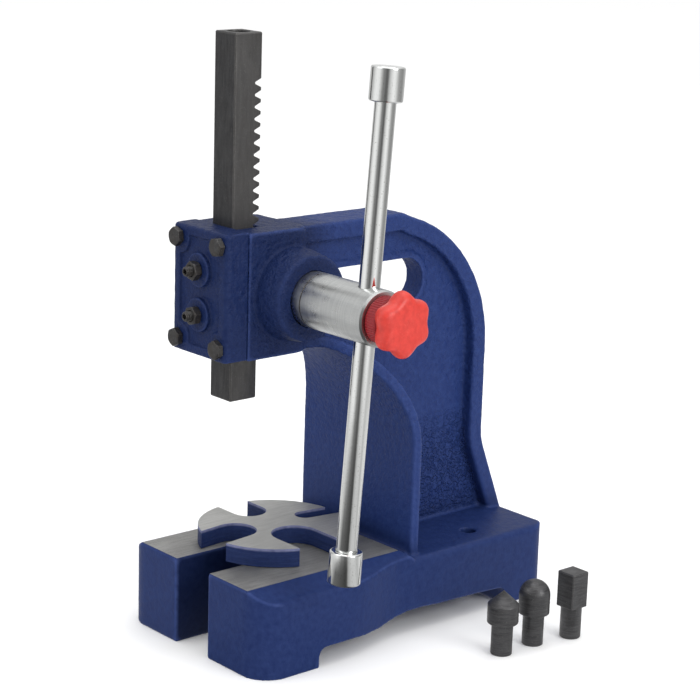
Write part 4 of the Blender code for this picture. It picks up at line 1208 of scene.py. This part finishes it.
def ribTree(inputs):
    # ribs stood round a circle, each turned to face outwards
    tree = bpy.data.node_groups.new("knob ribs", "GeometryNodeTree")
    tree.is_modifier = True
    sockets = {}
    for name, (kind, value) in inputs.items():
        made = tree.interface.new_socket(name, in_out="INPUT", socket_type=f"NodeSocket{kind}")
        sockets[made.identifier] = value
    tree.interface.new_socket("Geometry", in_out="OUTPUT", socket_type="NodeSocketGeometry")
    given = tree.nodes.new("NodeGroupInput").outputs
    inputs = {"Vertices": given["Count"], "Radius": given["Radius"]}
    ring = addNode(tree, "GeometryNodeMeshCircle", inputs).outputs[0]
    inputs = {"X": given["Height"], "Y": given["Width"], "Z": given["Length"]}
    size = addNode(tree, "ShaderNodeCombineXYZ", inputs).outputs[0]
    rib = addNode(tree, "GeometryNodeMeshCube", {"Size": size}).outputs[0]
    place = {"Vector": tree.nodes.new("GeometryNodeInputPosition").outputs[0]}
    parts = addNode(tree, "ShaderNodeSeparateXYZ", place).outputs
    turn = {"Z": calculate(tree, "ARCTAN2", parts["Y"], parts["X"])}
    facingOut = addNode(tree, "ShaderNodeCombineXYZ", turn).outputs[0]
    inputs = {"Points": ring, "Instance": rib, "Rotation": facingOut}
    stood = {"Geometry": addNode(tree, "GeometryNodeInstanceOnPoints", inputs).outputs[0]}
    loose = addNode(tree, "GeometryNodeRealizeInstances", stood).outputs[0]
    inputs = {"Geometry": loose, "Material": given["Plastic"]}
    painted = addNode(tree, "GeometryNodeSetMaterial", inputs).outputs[0]
    feed(tree, painted, tree.nodes.new("NodeGroupOutput").inputs["Geometry"])
    return tree, sockets


def makeKnobRibs(matrix):
    tree, sockets = ribTree({
        "Count": ("Int", knob["ribs"]),
        "Radius": ("Float", knob["skirtRadius"]),
        "Length": ("Float", knob["ribLength"]),
        "Width": ("Float", knob["ribWidth"]),
        "Height": ("Float", knob["ribHeight"] * 2),
        "Plastic": ("Material", knobPlastic),
    })
    empty = bpy.data.meshes.new("ribs")
    mesh = evaluatedMesh("ribs", empty, "NODES", sockets, node_group=tree)
    middle = knob["ribHeight"] * 2 + knob["ribLength"] / 2
    mesh.transform(matrix @ Matrix.Translation((0, 0, middle)))
    newPiece("knobRibs", mesh, knobPlastic, "knob")


knobPlace = along((1, 0, 0), Vector((knob["back"], shaftPlace.y, shaftPlace.z)))
makeKnob(knobPlace)
makeKnobRibs(knobPlace)
print("knob made")


# Loose tips

tip = {
    "radius": 0.0125,
    "edge": 0.0007,
    "under": 0.0012,
    "shank": 0.0086,
    "shankLength": 0.026,
    "root": 0.0003,
}
coneTip = {"height": 0.0531, "land": 0.0156}
ballTip = {"height": 0.0542, "steps": 24}


def makeTip(name, node, body, crown):
    # the crown's corners, then the shank's
    length, shank = tip["shankLength"], tip["shank"]
    corners = [
        *crown,
        (tip["radius"], length, tip["under"]),
        (shank, length, tip["root"]),
        (shank, 0, tip["edge"]),
        (0, 0, 0),
    ]
    low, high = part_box(node)
    place = Matrix.Translation(((low.x + high.x) / 2, (low.y + high.y) / 2, 0))
    newPiece(name, turnedMesh(name, corners, place), tipOxide, body, (node,))


def makeTips():
    radius, land = tip["radius"], tip["shankLength"] + coneTip["land"]
    cone = [(0, coneTip["height"], 0), (radius, land, tip["edge"])]
    makeTip("coneTip", "cone_tip", "cone", cone)
    centre, steps = ballTip["height"] - radius, ballTip["steps"]
    dome = []
    for i in range(steps + 1):
        turn = math.radians(90) * i / steps
        dome.append((radius * math.sin(turn), centre + radius * math.cos(turn), 0))
    makeTip("ballTip", "ball_tip", "ball", dome)


makeTips()
plainCopy("square_tip", "squareTip", tipOxide, "square")
print("tips made")


# Camera, floor and light

view = {
    "turn": 48.751,
    "down": 14.172,
    "roll": 1.758,
    "place": (1.22398, -0.95423, 0.63238),
    "focal": 2075.75,
    "side": 700,
    "sensor": 36,
}


def makeCamera():
    turn, down, roll = (math.radians(view[key]) for key in ("turn", "down", "roll"))
    level = Vector((math.cos(turn), math.sin(turn), 0))
    ahead = Vector((-math.sin(turn), math.cos(turn), 0)) * math.cos(down)
    ahead.z = -math.sin(down)
    upright = level.cross(ahead)
    right = math.cos(roll) * level + math.sin(roll) * upright
    up = math.cos(roll) * upright - math.sin(roll) * level
    matrix = Matrix((right, up, -ahead)).transposed().to_4x4()
    matrix.translation = Vector(view["place"]) + Vector((ramX, ramY, 0))
    data = bpy.data.cameras.new("camera")
    data.sensor_width = view["sensor"]
    data.lens = view["focal"] / view["side"] * data.sensor_width
    obj = newObject("camera", data)
    obj.matrix_world = matrix
    bpy.context.scene.camera = obj


def studioBands(tree, direction, bands):
    # what polished metal mirrors from each way round
    parts = addNode(tree, "ShaderNodeSeparateXYZ", {"Vector": direction}).outputs
    turn = calculate(tree, "ARCTAN2", parts["Y"], parts["X"])
    ramp = addNode(tree, "ShaderNodeValToRGB", {0: remap(tree, turn, -math.pi, math.pi)})
    stops = ramp.color_ramp.elements
    while len(stops) < len(bands):
        stops.new(0.5)
    for stop, (place, level) in zip(stops, bands):
        stop.position = place
        stop.color = (level, level, level, 1)
    return ramp.outputs[0], parts["Z"]


lights = {
    "key": {"place": (-0.6, -2.2, 2.2), "size": 1.6, "power": 14},
    "side": {"place": (2.6, 0.4, 1.3), "size": 1.4, "power": 30},
    "top": {"place": (0.0, 0.2, 2.6), "size": 1.8, "power": 17},
}
# the studio: brightness at shares of a full turn as metal mirrors it, and from the horizon to
# overhead. The floor near the press mirrors its own bands, which give way to the studio's
# between two distances
studio = {
    "bands": (
        (0.0, 0.62), (0.03, 0.45), (0.05, 0.38), (0.10, 0.62), (0.145, 0.90), (0.185, 1.0),
        (0.235, 0.94), (0.28, 0.53), (0.31, 0.26), (0.34, 0.22), (0.366, 0.13), (0.394, 0.16),
        (0.422, 0.51), (0.451, 0.76), (0.495, 0.98), (0.525, 1.0), (0.572, 0.69), (0.607, 0.40),
        (0.644, 0.34), (0.70, 0.30), (0.774, 0.55), (0.90, 0.66), (1.0, 0.62),
    ),
    "nearBands": (
        (0.0, 0.86), (0.05, 0.78), (0.144, 0.70), (0.20, 0.42), (0.24, 0.16), (0.385, 0.06),
        (0.405, 0.08), (0.42, 0.40), (0.46, 0.62), (0.52, 0.66), (0.56, 0.52), (0.62, 0.80),
        (0.75, 0.86), (1.0, 0.86),
    ),
    "near": (0.45, 1.2),
    "ceiling": (0.35, 0.75),
    "horizon": 0.95,
    "overhead": 1.10,
}
floorForm = {"colour": (0.95, 0.95, 0.95, 1), "roughness": 0.9, "sheen": 0.1, "half": 8}


def floorMaterial():
    # pale to the eye, and the studio's bands to a mirror
    material, tree, shader = newMaterial("floor")
    shader["Base Color"].default_value = floorForm["colour"]
    shader["Roughness"].default_value = floorForm["roughness"]
    shader["Specular IOR Level"].default_value = floorForm["sheen"]
    place = objectPlace(tree)
    far, _ = studioBands(tree, place, studio["bands"])
    near, _ = studioBands(tree, place, studio["nearBands"])
    distance = addNode(tree, "ShaderNodeVectorMath", {0: place}, operation="LENGTH")
    share = remap(tree, distance.outputs["Value"], *studio["near"])
    bands = {"Color": blendColours(tree, share, near, far)}
    inputs = {
        0: addNode(tree, "ShaderNodeLightPath").outputs["Is Glossy Ray"],
        1: tree.nodes["Principled BSDF"].outputs[0],
        2: addNode(tree, "ShaderNodeEmission", bands).outputs[0],
    }
    mixed = addNode(tree, "ShaderNodeMixShader", inputs).outputs[0]
    feed(tree, mixed, tree.nodes["Material Output"].inputs["Surface"])
    return material


def makeFloor():
    graph = bmesh.new()
    bmesh.ops.create_grid(graph, x_segments=1, y_segments=1, size=floorForm["half"])
    mesh = bpy.data.meshes.new("floor")
    graph.to_mesh(mesh)
    graph.free()
    mesh.materials.append(floorMaterial())
    newObject("floor", mesh)


def makeLights():
    for name, sizes in lights.items():
        data = bpy.data.lights.new(name, "AREA")
        data.size = sizes["size"]
        data.energy = sizes["power"]
        place = Vector(sizes["place"])
        newObject(name, data).matrix_world = along(place, place)


def makeStudio():
    world = bpy.data.worlds.new("studio")
    world.use_nodes = True
    bpy.context.scene.world = world
    tree = world.node_tree
    direction = addNode(tree, "ShaderNodeTexCoord").outputs["Generated"]
    bands, height = studioBands(tree, direction, studio["bands"])
    mirrored = blendColours(tree, remap(tree, height, *studio["ceiling"]), bands, white)
    given = between(tree, height, studio["horizon"], studio["overhead"])
    rays = addNode(tree, "ShaderNodeLightPath").outputs
    colour = blendColours(tree, rays["Is Glossy Ray"], given, mirrored)
    colour = blendColours(tree, rays["Is Camera Ray"], colour, white)
    feed(tree, colour, tree.nodes["Background"].inputs["Color"])


makeCamera()
makeFloor()
makeLights()
makeStudio()
bpy.context.scene.view_settings.view_transform = "Standard"
print("camera, floor and lights made")
